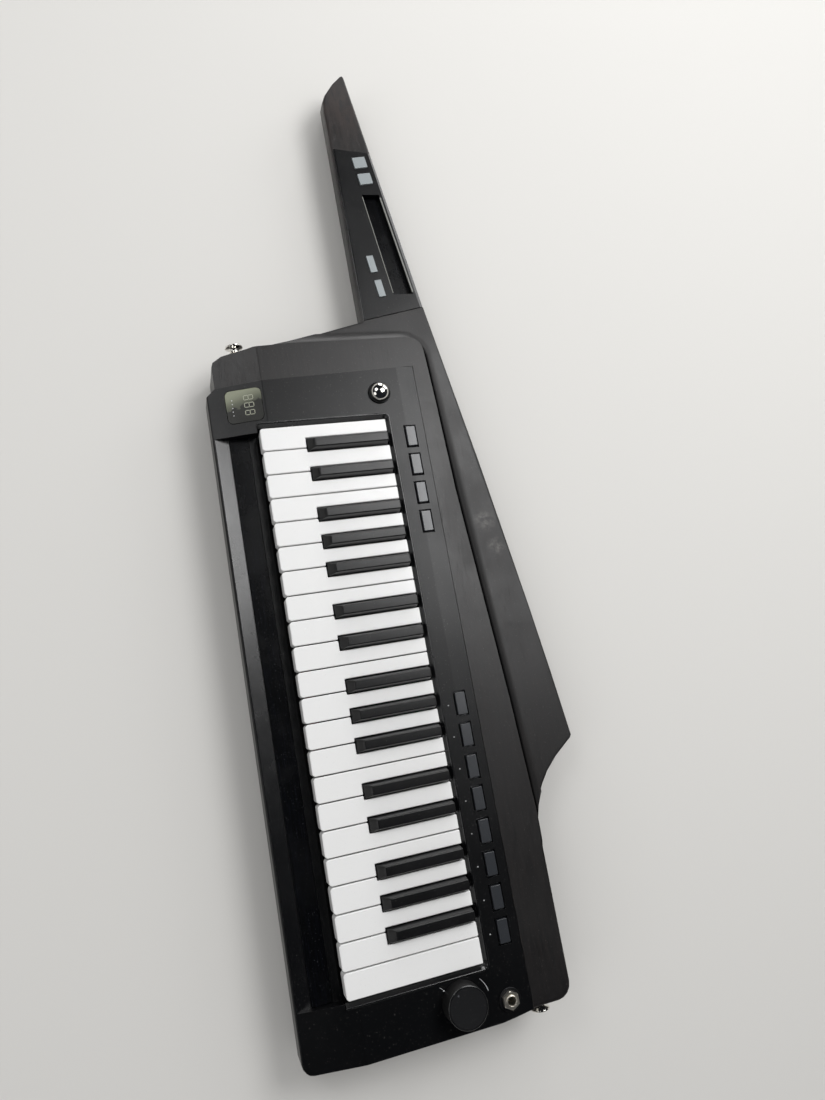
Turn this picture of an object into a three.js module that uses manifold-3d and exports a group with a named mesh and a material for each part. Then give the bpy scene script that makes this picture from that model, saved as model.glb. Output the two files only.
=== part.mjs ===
import * as THREE from "three";
import { mergeVertices } from "three/addons/utils/BufferGeometryUtils.js";
import Module from "manifold-3d";

const wasm = await Module();
wasm.setup();

// A keytar lying on its back. Lengths are in millimetres.
// X runs along the keyboard from its low end, Y from the key fronts to the wing, Z up from the back.

// Gaps
const touchGap = 0.3;
const buttonGap = 0.5;
const panelButtonGap = 1.4;
const cutOverrun = 1;

// Keys
const whiteKeyPitch = 20;
const whiteKeyCount = 22;
const whiteKeyLength = 106.5;
const keyGap = 0.9;
const keyCorner = 1.6;
const keyWall = 2;
const keyTopWall = 3;
const keyProud = 2;
const blackKeyWidth = 10.5;
const blackKeyTopWidth = 7.3;
const blackKeyRise = 6;
const blackKeyFront = 37;
const blackKeyFrontSlope = 5.5;
const blackKeyRearInset = 1.5;
const blackKeyCentreShares = [0.8725, 2.1275, 3.85, 5, 6.15];
const whiteNames = ["c", "d", "e", "f", "g", "a", "b"];
const blackNames = ["cs", "ds", "fs", "gs", "as"];
const keyboardLength = whiteKeyPitch * whiteKeyCount;
const octaveKeys = whiteNames.length;
const blackKeyRear = whiteKeyLength - blackKeyRearInset;

// Keyboard case, which carries the control surface, in plan
const caseWall = 3;
const caseCorner = 8;
const caseCornerCut = 6;
const caseFront = -37.3;
const openingMargin = 4.5;
const openingFrontGap = 1.5;
const openingBackGap = 4;
const openingLow = -openingMargin;
const openingHigh = keyboardLength + openingMargin;
const openingFront = -openingFrontGap;
const openingBack = whiteKeyLength + openingBackGap;
const stripWidth = 29.9;
const backFoldInset = 15.4;
const caseBack = openingBack + stripWidth;
const backFold = caseBack - backFoldInset;
const frontFold = 8;
const endWidth = 36.5;
const endTaper = 5.8;
const caseEndFront = openingLow - endWidth;
const caseEndBack = caseEndFront - endTaper;
const tailWidth = 40.1;
const tailCut = 26.4;
const caseTail = openingHigh + tailWidth;
const tailStraightBack = caseBack - tailCut;

// Levels of the body
const baseTop = 19.7;
const pocketFloor = 8;
const framePlate = 2;
const wingTop = 36;
const caseDepth = 34.3;
const deckDrop = 1;
const frontDrop = 11.5;
const backDrop = 1.2;
const caseTop = baseTop + caseDepth;
const frameBottom = baseTop + touchGap;
const frameTop = frameBottom + framePlate;
const deckTop = caseTop - deckDrop;
const caseFrontHeight = caseTop - frontDrop;
const caseBackHeight = caseTop - backDrop;
const caseUnderside = caseTop - caseWall;
const keyTop = caseTop + keyProud;
const frontSlope = Math.atan2(frontDrop, frontFold - caseFront);

// Buttons of the control surface, moulded on a web under the panel
const buttonLength = 17.4;
const buttonWidth = 8.2;
const buttonSpace = 7.7;
const buttonInset = 13;
const buttonRise = 1.3;
const buttonTravel = 0.8;
const functionStart = 8.3;
const functionCount = 4;
const programEndInset = 10.1;
const programCount = 8;
const webThickness = 1.6;
const webMargin = 2.5;
const buttonPitch = buttonLength + buttonSpace;
const buttonAcross = caseBack - buttonInset;
const programStart = keyboardLength - programEndInset - buttonLength - (programCount - 1) * buttonPitch;
const webTop = caseBackHeight - caseWall - touchGap;

// Key pivot: a bead on the frame's rear rail, in a saddle in each key's tail
const pivotInset = 10.4;
const pivotRadius = 2;
const pivotWeb = 2;
const keyTailHeight = 4.5;
const keyTailDrop = 2;
const keyTailOverhang = 4;
const keyTailClearance = 0.6;
const pivotAcross = caseBack - pivotInset;
const keyTailEnd = pivotAcross + keyTailOverhang;
const pivotHeight = webTop - webThickness - buttonTravel - keyTailClearance - keyTailHeight;
const keyBottom = pivotHeight + keyTailDrop;

// Ribbon trough along the key fronts
const troughInset = 2;
const lipWidth = 2;
const troughDrop = 4;
const ledgeRise = 1;
const ledgeWidth = 6.5;
const ribbonWidth = 16;
const ribbonThickness = 0.8;
const troughFloor = caseFrontHeight - troughDrop;
const ribbonBack = openingFront - ledgeWidth;
const ribbonFront = ribbonBack - ribbonWidth;

// Display window, flush with the front slope
const displayMargin = 4;
const displayFront = -23;
const displayWidth = 30;
const displayThickness = 2.4;
const displayCorner = 4.5;
const displayLow = caseEndFront + displayMargin;
const displayLength = openingLow - displayMargin - displayLow;

// Knobs on the control surface
const dialInset = [17, 34.4];
const dialRadius = 9.6;
const dialHeight = 8;
const volumeInset = [22.7, 55.3];
const volumeRadius = 15.6;
const volumeHeight = 16;
const knobEdge = 1.2;
const knobTopShare = 0.99;
const stemRadius = 3;
const stemDrop = 9;
const dialPlace = [caseEndFront + dialInset[0], caseBack - dialInset[1]];
const volumePlace = [caseTail - volumeInset[0], caseBack - volumeInset[1]];

// Microphone jack
const jackInset = [14.6, 17.9];
const jackWasher = 8.8;
const jackWasherHeight = 0.8;
const jackNut = 6.9;
const jackNutHeight = 3;
const jackSleeve = 4.3;
const jackSleeveRise = 1;
const jackBore = 3.3;
const jackBody = 7;
const jackFootGap = 3.5;
const jackWall = 3;
const jackPlace = [caseTail - jackInset[0], caseBack - jackInset[1]];
const jackFoot = frameTop + jackFootGap;

// Plan of the wooden body, laid out from the case
const woodFrontInset = 7.3;
const woodTailInset = 2.6;
const deckMargin = 34.1;
const frontCorner = 8;
const tailCorner = 12;
const woodFront = caseFront + woodFrontInset;
const woodTail = caseTail - woodTailInset;
const deckSide = caseBack + deckMargin;
const endMargin = 29.2;
const endCornerLength = 15.3;
const endCornerWidth = 35;
const endFace = caseEndBack - endMargin;
const wingTipInset = 193;
const wingOverhang = 52.1;
const wingBulgeAlong = 131;
const wingBulgeOverhang = 34.1;
const notchLength = 79;
const wingTipAlong = woodTail - wingTipInset;
const wingReach = deckSide + wingOverhang;
const edgeRound = 2.5;

// The neck
const neckLength = 279;
const neckFrontInset = 33.8;
const neckTipInset = 8.6;
const neckShoulder = 41.6;
const neckRootLowRun = 23.6;
const neckRootHighRun = 35.6;
const neckRootDrop = 6.5;
const undercutWidth = 10;
const undercutHeight = 24;
const neckTip = endFace - neckLength;
const neckTipAcross = caseBack - neckTipInset;
const neckFront = caseBack - neckFrontInset;
const neckRootLow = endFace - neckRootLowRun;
const neckRootHigh = endFace - neckRootHighRun;
const neckRootAcross = deckSide - neckRootDrop;

// The ridge where the deck stands above the wing and the neck
const coveRadius = 15;
const ridgeInset = 1.5;
const ridgeCorner = 13;
const ridgeMargin = 13;
const ridgeRun = 406;
const ridgeEnd = endFace + ridgeInset;
const ridgeAcross = caseBack + ridgeMargin;
const ridgeRise = deckSide - ridgeAcross;

// Neck panel, its ribbon and its buttons
const neckPanelRise = 1;
const neckPanelDepth = 14;
const neckPanelWall = 2.6;
const neckPanelStep = 2.6;
const neckBareTip = 82.4;
const neckPanelSetback = 0.6;
const neckLowSlant = 0.126;
const neckHighSlant = -0.189;
const neckBevel = 4;
const neckPanelTop = wingTop + neckPanelRise;
const neckPanelBottom = wingTop - neckPanelDepth + touchGap;
const neckPanelFront = neckFront + neckPanelStep;
const neckPanelLow = neckTip + neckBareTip;
const neckPanelHigh = neckRootLow - neckPanelSetback;
const squareLength = 11;
const squareWidth = 12.4;
const squareMargin = 6.3;
const squareSpace = 5.9;
const squareRise = [0.2, 2.6];
const squareLow = neckPanelLow + neckPanelWall + squareMargin + squareLength / 2;
const squareHigh = squareLow + squareLength + squareSpace;
const squarePlaces = [
  [squareLow, neckTipAcross + squareRise[0]],
  [squareHigh, neckTipAcross + squareRise[1]],
];
const recessSpace = 10.8;
const recessHighInset = 23.8;
const recessStep = 9.5;
const recessLowWidth = 16.4;
const recessHighWidth = 18.6;
const recessSlant = 0.126;
const recessDepth = 7;
const recessFloor = 2;
const recessLow = squareHigh + squareLength / 2 + recessSpace;
const recessLength = neckPanelHigh - recessHighInset - recessLow;
const recessFront = neckTipAcross + recessStep - recessSlant * recessLength;
const longLength = 16.4;
const longWidth = 6.4;
const longInsets = [[54.3, 6], [30.1, 2.4]];
const longPlaces = longInsets.map(([along, across]) => [neckPanelHigh - along, neckTipAcross - across]);
const neckButtonTilt = 0.13;
const neckButtonRise = 0.9;

// Strap pins
const pinBase = 7.2;
const pinBaseThickness = 1.5;
const pinWaist = 4;
const pinWaistLength = 5;
const pinHead = 7.5;
const pinHeadThickness = 3.6;
const pinScrew = 1.8;
const pinScrewLength = 12;
const pinHeight = 36;
const pinSocketGap = 0.7;
const neckPinInset = 21.5;
const neckPinDepth = 4.4;
const tailPinMargin = 11.6;
const tailPinDepth = 1.4;
const neckPinAcross = woodFront + neckPinInset;
const neckPinSeat = endFace + neckPinDepth;
const tailPinAcross = caseBack + tailPinMargin;
const tailPinSeat = woodTail - tailPinDepth;

// Back: pocket, access opening, cover, battery compartment and main board
const pocketEndInset = 7;
const pocketTailInset = 9;
const pocketFrontInset = 6;
const pocketBackInset = 10.4;
const pocketLow = caseEndFront + pocketEndInset;
const pocketHigh = woodTail - pocketTailInset;
const pocketFront = woodFront + pocketFrontInset;
const pocketBack = caseBack - pocketBackInset;
const coverEndInset = 58;
const coverTailInset = 27;
const coverFrontInset = 18;
const coverBackInset = 14;
const coverThickness = 2.7;
const coverOverlap = 6;
const coverLow = pocketLow + coverEndInset;
const coverHigh = pocketHigh - coverTailInset;
const coverFront = pocketFront + coverFrontInset;
const coverBack = pocketBack - coverBackInset;
const batteryTailInset = 42;
const batteryFrontInset = 37;
const batteryLength = 104;
const batteryWidth = 47;
const batteryWall = 1.6;
const batteryFlange = 4;
const batteryFlangeThickness = 1.6;
const doorThickness = 2.4;
const batteryLow = coverHigh - batteryTailInset - batteryLength;
const batteryFront = coverFront + batteryFrontInset;
const boardThickness = 1.6;
const boardInset = 14;
const boardSpace = 20;
const bossTop = 12;
const bossRadius = 3;
const bossInset = 8;
const mainBoardLow = coverLow + boardInset;
const mainBoardHigh = batteryLow - boardSpace;
const mainBoardFront = coverFront + boardInset;
const mainBoardBack = coverBack - boardInset;

// Key frame, felt and contact board
const frameEndMargin = 12;
const frameFrontInset = 3;
const frameBackInset = 4.4;
const frameFront = woodFront + frameFrontInset;
const frameBack = caseBack - frameBackInset;
const railFront = 4;
const railDepth = 20;
const railDrop = 10;
const railBack = railFront + railDepth;
const railTop = keyBottom - railDrop;
const blackRailInset = 8;
const blackRailDepth = 6;
const blackRailFront = blackKeyFront + blackRailInset;
const blackRailBack = blackRailFront + blackRailDepth;
const guideRise = 1.5;
const guideDepth = 4;
const guideClearance = 0.5;
const guideTop = keyBottom + guideRise;
const feltInset = 2;
const feltWidth = 8;
const feltThickness = 3;
const feltFront = railFront + feltInset;
const ribDrop = 1;
const ribWidth = 3;
const ribTop = railTop - ribDrop;
const contactBoardSpace = 3;
const contactBoardInset = 6.5;
const contactBoardFront = blackRailBack + contactBoardSpace;
const contactBoardBack = whiteKeyLength - contactBoardInset;

// Socket plate in the tail of the case
const plateBackInset = 5;
const plateWidth = 62;
const plateFootGap = 5;
const plateTopDrop = 9;
const plateThickness = 2.4;
const plateBack = tailStraightBack - plateBackInset;
const plateFront = plateBack - plateWidth;
const plateBottom = frameBottom + plateFootGap;
const plateTop = caseTop - plateTopDrop;
const socketInset = 2;
const socketDepth = 18;
const socketFloor = 2;
const socketSpan = plateTop - plateBottom - 2 * socketInset;
const outputInset = 10;
const dataInset = 27.5;
const dataRadiusShare = 0.475;
const dataDepth = 9;
const computerInset = 44;
const computerWidth = 12;
const computerHeightShare = 0.675;
const powerInset = 55.5;
const powerRadius = 3.1;
const outputAcross = plateBack - outputInset;
const dataAcross = plateBack - dataInset;
const dataRadius = dataRadiusShare * socketSpan;
const computerAcross = plateBack - computerInset;
const computerHeight = computerHeightShare * socketSpan;
const powerAcross = plateBack - powerInset;

// How finely round shapes are faceted
const nutSides = 6;
const smallSides = 16;
const largeSides = 32;
const roundSteps = 2;
const coveSteps = 4;
const cornerSteps = 4;
const edgeSteps = 12;

// Solids made from three.js geometry
function solid(geometry) {
  const bare = geometry.clone();
  bare.deleteAttribute("normal");
  bare.deleteAttribute("uv");
  const merged = mergeVertices(bare);
  const mesh = new wasm.Mesh({
    numProp: 3,
    vertProperties: new Float32Array(merged.attributes.position.array),
    triVerts: new Uint32Array(merged.index.array),
  });
  return new wasm.Manifold(mesh);
}

function geometryOf(body) {
  const mesh = body.getMesh();
  const geometry = new THREE.BufferGeometry();
  geometry.setAttribute("position", new THREE.BufferAttribute(mesh.vertProperties, 3));
  geometry.setIndex(new THREE.BufferAttribute(mesh.triVerts, 1));
  geometry.computeVertexNormals();
  return geometry;
}

function block([lowX, highX], [lowY, highY], [lowZ, highZ]) {
  const geometry = new THREE.BoxGeometry(highX - lowX, highY - lowY, highZ - lowZ);
  return solid(geometry.translate((lowX + highX) / 2, (lowY + highY) / 2, (lowZ + highZ) / 2));
}

function shapeOf(outline) {
  return new THREE.Shape(outline.map(([u, v]) => new THREE.Vector2(u, v)));
}

function prism(outline, bottom, top) {
  const options = { depth: top - bottom, bevelEnabled: false };
  return solid(new THREE.ExtrudeGeometry(shapeOf(outline), options).translate(0, 0, bottom));
}

// A prism whose walls stand the given distance outside the outline, or inside where it is negative
function grownPrism(outline, bottom, top, distance) {
  const options = {
    depth: top - bottom - 2 * touchGap,
    bevelThickness: touchGap,
    bevelSize: 0,
    bevelOffset: distance,
    bevelSegments: 1,
  };
  const geometry = new THREE.ExtrudeGeometry(shapeOf(outline), options);
  return solid(geometry.translate(0, 0, bottom + touchGap));
}

// A prism whose top and bottom edges are rounded
function roundedPrism(outline, bottom, top, radius) {
  const options = {
    depth: top - bottom - 2 * radius,
    bevelThickness: radius,
    bevelSize: radius,
    bevelOffset: -radius,
    bevelSegments: roundSteps,
  };
  return solid(new THREE.ExtrudeGeometry(shapeOf(outline), options).translate(0, 0, bottom + radius));
}

// A section drawn in Y and Z and drawn out along X
function beamAlongX(section, low, high) {
  const options = { depth: high - low, bevelEnabled: false };
  const turn = new THREE.Matrix4().makeBasis(
    new THREE.Vector3(0, 1, 0),
    new THREE.Vector3(0, 0, 1),
    new THREE.Vector3(1, 0, 0),
  );
  const geometry = new THREE.ExtrudeGeometry(shapeOf(section), options).applyMatrix4(turn);
  return solid(geometry.translate(low, 0, 0));
}

// A section drawn in X and Z and drawn out along Y
function beamAlongY(section, front, back) {
  const options = { depth: back - front, bevelEnabled: false };
  const geometry = new THREE.ExtrudeGeometry(shapeOf(section), options).rotateX(Math.PI / 2);
  return solid(geometry.translate(0, back, 0));
}

function rod(radius, [x, y], bottom, top, sides) {
  const geometry = new THREE.CylinderGeometry(radius, radius, top - bottom, sides);
  return solid(geometry.rotateX(Math.PI / 2).translate(x, y, (bottom + top) / 2));
}

function rodAlongX(radius, [low, high], [y, z], sides) {
  const geometry = new THREE.CylinderGeometry(radius, radius, high - low, sides);
  return solid(geometry.rotateZ(Math.PI / 2).translate((low + high) / 2, y, z));
}

// A profile of radius and height, turned about an upright axis at the given place
function turned(profile, [x, y], sides) {
  const points = profile.map(([radius, height]) => new THREE.Vector2(radius, height));
  return solid(new THREE.LatheGeometry(points, sides).rotateX(Math.PI / 2).translate(x, y, 0));
}

function joined(bodies) {
  return bodies.reduce((whole, body) => whole.add(body));
}

function cut(body, tools) {
  return tools.reduce((rest, tool) => rest.subtract(tool), body);
}

// Points spread over a rectangle by shares of its sides
function spread([x, y], [length, width], shares) {
  return shares.map(([along, across]) => [x + along * length, y + across * width]);
}

function cornerArc([x, y], radius, from, to) {
  const steps = Array.from({ length: cornerSteps + 1 }, (_, step) => step / cornerSteps);
  const angles = steps.map((share) => from + (to - from) * share);
  return angles.map((angle) => [x + radius * Math.cos(angle), y + radius * Math.sin(angle)]);
}

// Materials
function finish(color, roughness, metalness) {
  return new THREE.MeshStandardMaterial({ color, roughness, metalness });
}

const paintedWood = finish(0x241e1d, 0.55, 0);
const blackPlastic = finish(0x16171a, 0.42, 0);
const glossBlack = finish(0x08080a, 0.12, 0);
const whiteKeyPlastic = finish(0xeeeeee, 0.3, 0);
const blackKeyPlastic = finish(0x1a1a1b, 0.35, 0);
const greyRubber = finish(0xbfc6cb, 0.5, 0);
const smokedPlastic = finish(0x3a4048, 0.4, 0);
const chrome = finish(0xc8c8c4, 0.12, 1);
const knobRubber = finish(0x1b1c1e, 0.7, 0);
const framePlastic = finish(0x3b3b3d, 0.6, 0);
const boardLaminate = finish(0x1d4a2c, 0.5, 0);
const redFelt = finish(0x7a1f22, 0.95, 0);

const instrument = new THREE.Group();

function addPiece(name, body, material) {
  const mesh = new THREE.Mesh(geometryOf(body), material);
  mesh.name = name;
  instrument.add(mesh);
}

// Plan outlines of the wood

function wingEdge() {
  const curve = new THREE.QuadraticBezierCurve(
    new THREE.Vector2(neckRootHigh, neckRootAcross),
    new THREE.Vector2(wingBulgeAlong, deckSide + wingBulgeOverhang),
    new THREE.Vector2(wingTipAlong, wingReach),
  );
  return curve.getPoints(edgeSteps).map((point) => [point.x, point.y]);
}

const notchShares = [
  [0.03, 0.03], [0.189, 0.347], [0.32, 0.542], [0.435, 0.667],
  [0.552, 0.766], [0.66, 0.845], [0.77, 0.91], [0.885, 0.966], [1, 1],
];
const endCornerShares = [[1, 0], [0.75, 0.04], [0.42, 0.3], [0.1, 0.64], [0, 1]];
const neckTipShares = [[1, 0], [0.75, 0.03], [0.56, 0.17], [0.25, 0.55]];

const woodOutline = [
  [neckTip, neckTipAcross],
  ...wingEdge(),
  ...spread([wingTipAlong, wingReach], [notchLength, deckSide - wingReach], notchShares),
  ...cornerArc([woodTail - tailCorner, deckSide - tailCorner], tailCorner, Math.PI / 2, 0),
  ...cornerArc([woodTail - frontCorner, woodFront + frontCorner], frontCorner, 0, -Math.PI / 2),
  ...spread([endFace, woodFront], [endCornerLength, endCornerWidth], endCornerShares),
  [neckRootLow, neckFront],
  ...spread([neckTip, neckFront], [neckShoulder, neckTipAcross - neckFront], neckTipShares),
];

// The deck side of the ridge, run out past the body at its front and tail
const ridgeSideShares = [[0.114, 0.1], [0.316, 0.23], [0.764, 0.79], [1, 1]];
const ridgeEndShares = [[0.8, -0.1], [0.55, 0.02], [0.1, 0.5], [0, 1]];

function ridgeOutline() {
  const corner = [ridgeEnd + ridgeCorner, ridgeAcross - ridgeCorner];
  const pastTail = woodTail + 2 * coveRadius;
  const pastFront = woodFront - 2 * coveRadius;
  return [
    [ridgeEnd + endCornerLength, pastFront],
    ...spread([ridgeEnd, woodFront], [endCornerLength, 2 * endCornerWidth], ridgeEndShares),
    ...cornerArc(corner, ridgeCorner, Math.PI, Math.PI / 2),
    ...spread([corner[0], ridgeAcross], [ridgeRun, ridgeRise], ridgeSideShares),
    [pastTail, ridgeAcross + ridgeRise],
    [pastTail, pastFront],
  ];
}

// Everything above the wing and outside the ridge, with a round lower edge that leaves a cove
function coveCutter() {
  const reach = woodTail - neckTip;
  const shape = shapeOf([[-reach, -reach], [reach, -reach], [reach, reach], [-reach, reach]]);
  shape.holes.push(new THREE.Path(ridgeOutline().map(([x, y]) => new THREE.Vector2(x, y))));
  const options = {
    depth: deckTop - wingTop,
    bevelThickness: coveRadius,
    bevelSize: coveRadius,
    bevelOffset: -coveRadius,
    bevelSegments: coveSteps,
  };
  return solid(new THREE.ExtrudeGeometry(shape, options).translate(0, 0, wingTop + coveRadius));
}

// Plan outline of the case
const caseOutline = [
  [caseEndFront, woodFront],
  [caseEndFront + caseCornerCut, caseFront],
  ...cornerArc([caseTail - caseCorner, caseFront + caseCorner], caseCorner, -Math.PI / 2, 0),
  [caseTail, tailStraightBack],
  [woodTail, caseBack],
  [caseEndBack, caseBack],
];

// Height of the case's control surface at a place across it
const caseSection = [
  [caseFront - cutOverrun, caseFrontHeight],
  [caseFront, caseFrontHeight],
  [frontFold, caseTop],
  [backFold, caseTop],
  [caseBack, caseBackHeight],
  [caseBack + cutOverrun, caseBackHeight],
];

function underSurface(drop) {
  const [first] = caseSection;
  const last = caseSection[caseSection.length - 1];
  const section = caseSection.map(([across, height]) => [across, height - drop]);
  return beamAlongX([...section, [last[0], 0], [first[0], 0]], neckTip, caseTail + cutOverrun);
}

// Neck panel in plan, run out past the neck's outer edge
const panelSpan = wingReach - neckPanelFront;
const neckPanelOutline = [
  [neckPanelLow, neckPanelFront],
  [neckPanelHigh, neckPanelFront],
  [neckPanelHigh + neckHighSlant * panelSpan, wingReach],
  [neckPanelLow + neckLowSlant * panelSpan, wingReach],
];

// What is cut off the deck's front corner, so that the wood slopes down beside the case's front
function deckSlopeCutter() {
  const deckFrontHeight = caseFrontHeight - deckDrop;
  const section = [
    [caseFront, deckFrontHeight],
    [frontFold, deckTop],
    [frontFold, deckTop + cutOverrun],
    [caseFront, deckTop + cutOverrun],
  ];
  return beamAlongX(section, neckTip, caseTail + cutOverrun);
}

// Wooden body: neck, wing and deck cut from one slab, with a pocket for the case
function woodBody() {
  const low = roundedPrism(woodOutline, 0, wingTop, edgeRound);
  const reach = grownPrism(ridgeOutline(), -cutOverrun, deckTop + cutOverrun, coveRadius);
  const high = roundedPrism(woodOutline, 0, deckTop, edgeRound).intersect(reach).subtract(coveCutter());
  const neckPocket = [neckPanelBottom - touchGap, wingTop + cutOverrun];
  return cut(low.add(high), [
    grownPrism(caseOutline, baseTop, deckTop + cutOverrun, touchGap),
    block([pocketLow, pocketHigh], [pocketFront, pocketBack], [pocketFloor, deckTop]),
    block([coverLow, coverHigh], [coverFront, coverBack], [-cutOverrun, coverThickness + 2 * touchGap]),
    block(
      [coverLow + coverOverlap, coverHigh - coverOverlap],
      [coverFront + coverOverlap, coverBack - coverOverlap],
      [-cutOverrun, deckTop],
    ),
    grownPrism(neckPanelOutline, ...neckPocket, touchGap),
    deckSlopeCutter(),
    undercut([neckTip, neckFront], [neckRootLow - edgeRound, neckFront], 1),
    undercut([neckTip, neckTipAcross], [neckRootHigh, neckRootAcross], -1),
    ...pinSockets(),
  ]);
}

// A long wedge that thins the neck's back edge, from one place in plan to another
function undercut([fromX, fromY], [toX, toY], side) {
  const length = Math.hypot(toX - fromX, toY - fromY);
  const section = [
    [-side * cutOverrun, -cutOverrun],
    [side * undercutWidth, -cutOverrun],
    [side * undercutWidth, 0],
    [0, undercutHeight],
    [-side * cutOverrun, undercutHeight],
  ];
  const turn = THREE.MathUtils.radToDeg(Math.atan2(toY - fromY, toX - fromX));
  return beamAlongX(section, 0, length).rotate([0, 0, turn]).translate([fromX, fromY, 0]);
}

// Seats for the strap pins and the holes that their screws bite in
function pinSockets() {
  const seat = pinBase + pinSocketGap;
  const hole = pinScrew + touchGap;
  const depth = pinScrewLength + touchGap;
  return [
    rodAlongX(seat, [neckPinSeat - pinBase, neckPinSeat], [neckPinAcross, pinHeight], smallSides),
    rodAlongX(hole, [neckPinSeat, neckPinSeat + depth], [neckPinAcross, pinHeight], smallSides),
    rodAlongX(seat, [tailPinSeat, tailPinSeat + pinBase], [tailPinAcross, pinHeight], smallSides),
    rodAlongX(hole, [tailPinSeat - depth, tailPinSeat], [tailPinAcross, pinHeight], smallSides),
  ];
}

// A strap pin that stands out from its seat along -X when the sign is -1, or +X when it is 1
function strapPin(seat, across, sign) {
  const profile = [
    [0, -pinScrewLength],
    [pinScrew, -pinScrewLength],
    [pinScrew, 0],
    [pinBase, 0],
    [pinBase, pinBaseThickness],
    [pinWaist, pinBaseThickness + pinWaist / 2],
    [pinWaist, pinBaseThickness + pinWaistLength],
    [pinHead, pinBaseThickness + pinWaistLength + pinWaist / 2],
    [pinHead, pinBaseThickness + pinWaistLength + pinHeadThickness],
    [0, pinBaseThickness + pinWaistLength + pinHeadThickness],
  ];
  const points = profile.map(([radius, height]) => new THREE.Vector2(radius, height));
  const geometry = new THREE.LatheGeometry(points, smallSides).rotateZ((-sign * Math.PI) / 2);
  return solid(geometry.translate(seat + sign * touchGap, across, pinHeight));
}

// Cover of the access opening, with bosses for the main board
function rearCover() {
  const plate = block(
    [coverLow + touchGap, coverHigh - touchGap],
    [coverFront + touchGap, coverBack - touchGap],
    [touchGap, touchGap + coverThickness],
  );
  const places = [mainBoardLow + bossInset, mainBoardHigh - bossInset].flatMap((x) => [
    [x, mainBoardFront + bossInset],
    [x, mainBoardBack - bossInset],
  ]);
  const bosses = places.map((spot) => rod(bossRadius, spot, coverThickness, bossTop, smallSides));
  return joined([plate, ...bosses]).subtract(batterySpace(0, 0, pocketFloor));
}

// The battery opening in plan, drawn in by an inset, from the back up to a height
function batterySpace(inset, bottom, top) {
  return block(
    [batteryLow + inset, batteryLow + batteryLength - inset],
    [batteryFront + inset, batteryFront + batteryWidth - inset],
    [bottom, top],
  );
}

// Battery box: a tub open to the back, on a flange that rests on the rear cover
function batteryBox() {
  const bottom = coverThickness + 2 * touchGap;
  const top = frameBottom - touchGap;
  return batterySpace(0, bottom, top)
    .add(batterySpace(-batteryFlange, bottom, bottom + batteryFlangeThickness))
    .subtract(batterySpace(batteryWall, bottom - cutOverrun, top - batteryWall));
}

function batteryDoor() {
  return batterySpace(touchGap, touchGap, touchGap + doorThickness);
}

// Keyboard case: a shell open to the back, with the key opening and the ribbon trough
function controlPanel() {
  const troughLow = troughInset;
  const troughHigh = keyboardLength + troughInset;
  const shell = grownPrism(caseOutline, frameBottom, caseTop + cutOverrun, 0).intersect(underSurface(0));
  const troughWall = block(
    [troughLow - caseWall, troughHigh + caseWall],
    [caseFront, openingFront],
    [troughFloor - caseWall, caseTop + cutOverrun],
  );
  const hollow = grownPrism(caseOutline, frameBottom - cutOverrun, caseTop, -caseWall)
    .intersect(underSurface(caseWall))
    .subtract(troughWall);
  const trough = beamAlongX(
    [
      [caseFront + lipWidth, caseFrontHeight],
      [ribbonFront, troughFloor],
      [ribbonBack, troughFloor],
      [ribbonBack, troughFloor + ledgeRise],
      [openingFront + cutOverrun, troughFloor + ledgeRise],
      [openingFront + cutOverrun, caseTop + cutOverrun],
      [caseFront + lipWidth, caseTop + cutOverrun],
    ],
    troughLow,
    troughHigh,
  );
  const keyOpening = block(
    [openingLow, openingHigh],
    [openingFront, openingBack],
    [troughFloor - caseWall - cutOverrun, caseTop + cutOverrun],
  );
  const top = caseTop + cutOverrun;
  const bottom = caseUnderside - caseWall;
  return cut(shell, [
    hollow,
    trough,
    keyOpening,
    displayBlock(touchGap),
    rod(stemRadius + touchGap, dialPlace, bottom, top, smallSides),
    rod(stemRadius + touchGap, volumePlace, bottom, top, smallSides),
    rod(jackSleeve + touchGap, jackPlace, bottom, top, smallSides),
    ...panelCaps(functionStart, functionCount, panelButtonGap),
    ...panelCaps(programStart, programCount, panelButtonGap),
    plateBlock(touchGap, cutOverrun),
  ]);
}

// The display window with its round corners, grown all round by a margin to cut its opening
function displayBlock(margin) {
  const depth = margin > 0 ? 2 * caseWall : displayThickness;
  const radius = displayCorner + margin;
  const high = displayLength - displayCorner;
  const back = displayWidth - displayCorner;
  const outline = [
    ...cornerArc([displayCorner, displayCorner], radius, Math.PI, 1.5 * Math.PI),
    ...cornerArc([high, displayCorner], radius, -0.5 * Math.PI, 0),
    ...cornerArc([high, back], radius, 0, 0.5 * Math.PI),
    ...cornerArc([displayCorner, back], radius, 0.5 * Math.PI, Math.PI),
  ];
  const options = { depth: depth + margin, bevelEnabled: false };
  const geometry = new THREE.ExtrudeGeometry(shapeOf(outline), options).translate(0, 0, -depth);
  const height = caseFrontHeight + Math.tan(frontSlope) * (displayFront - caseFront);
  return solid(geometry.rotateX(frontSlope).translate(displayLow, displayFront, height));
}

// Button caps of the control surface, or their openings where a gap is given
function panelCaps(start, count, gap) {
  const front = buttonAcross - buttonWidth / 2;
  return Array.from({ length: count }, (_, index) => {
    const low = start + index * buttonPitch;
    return block(
      [low - gap, low + buttonLength + gap],
      [front - gap, front + buttonWidth + gap],
      [caseUnderside - caseWall, caseTop + buttonRise],
    );
  });
}

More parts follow.
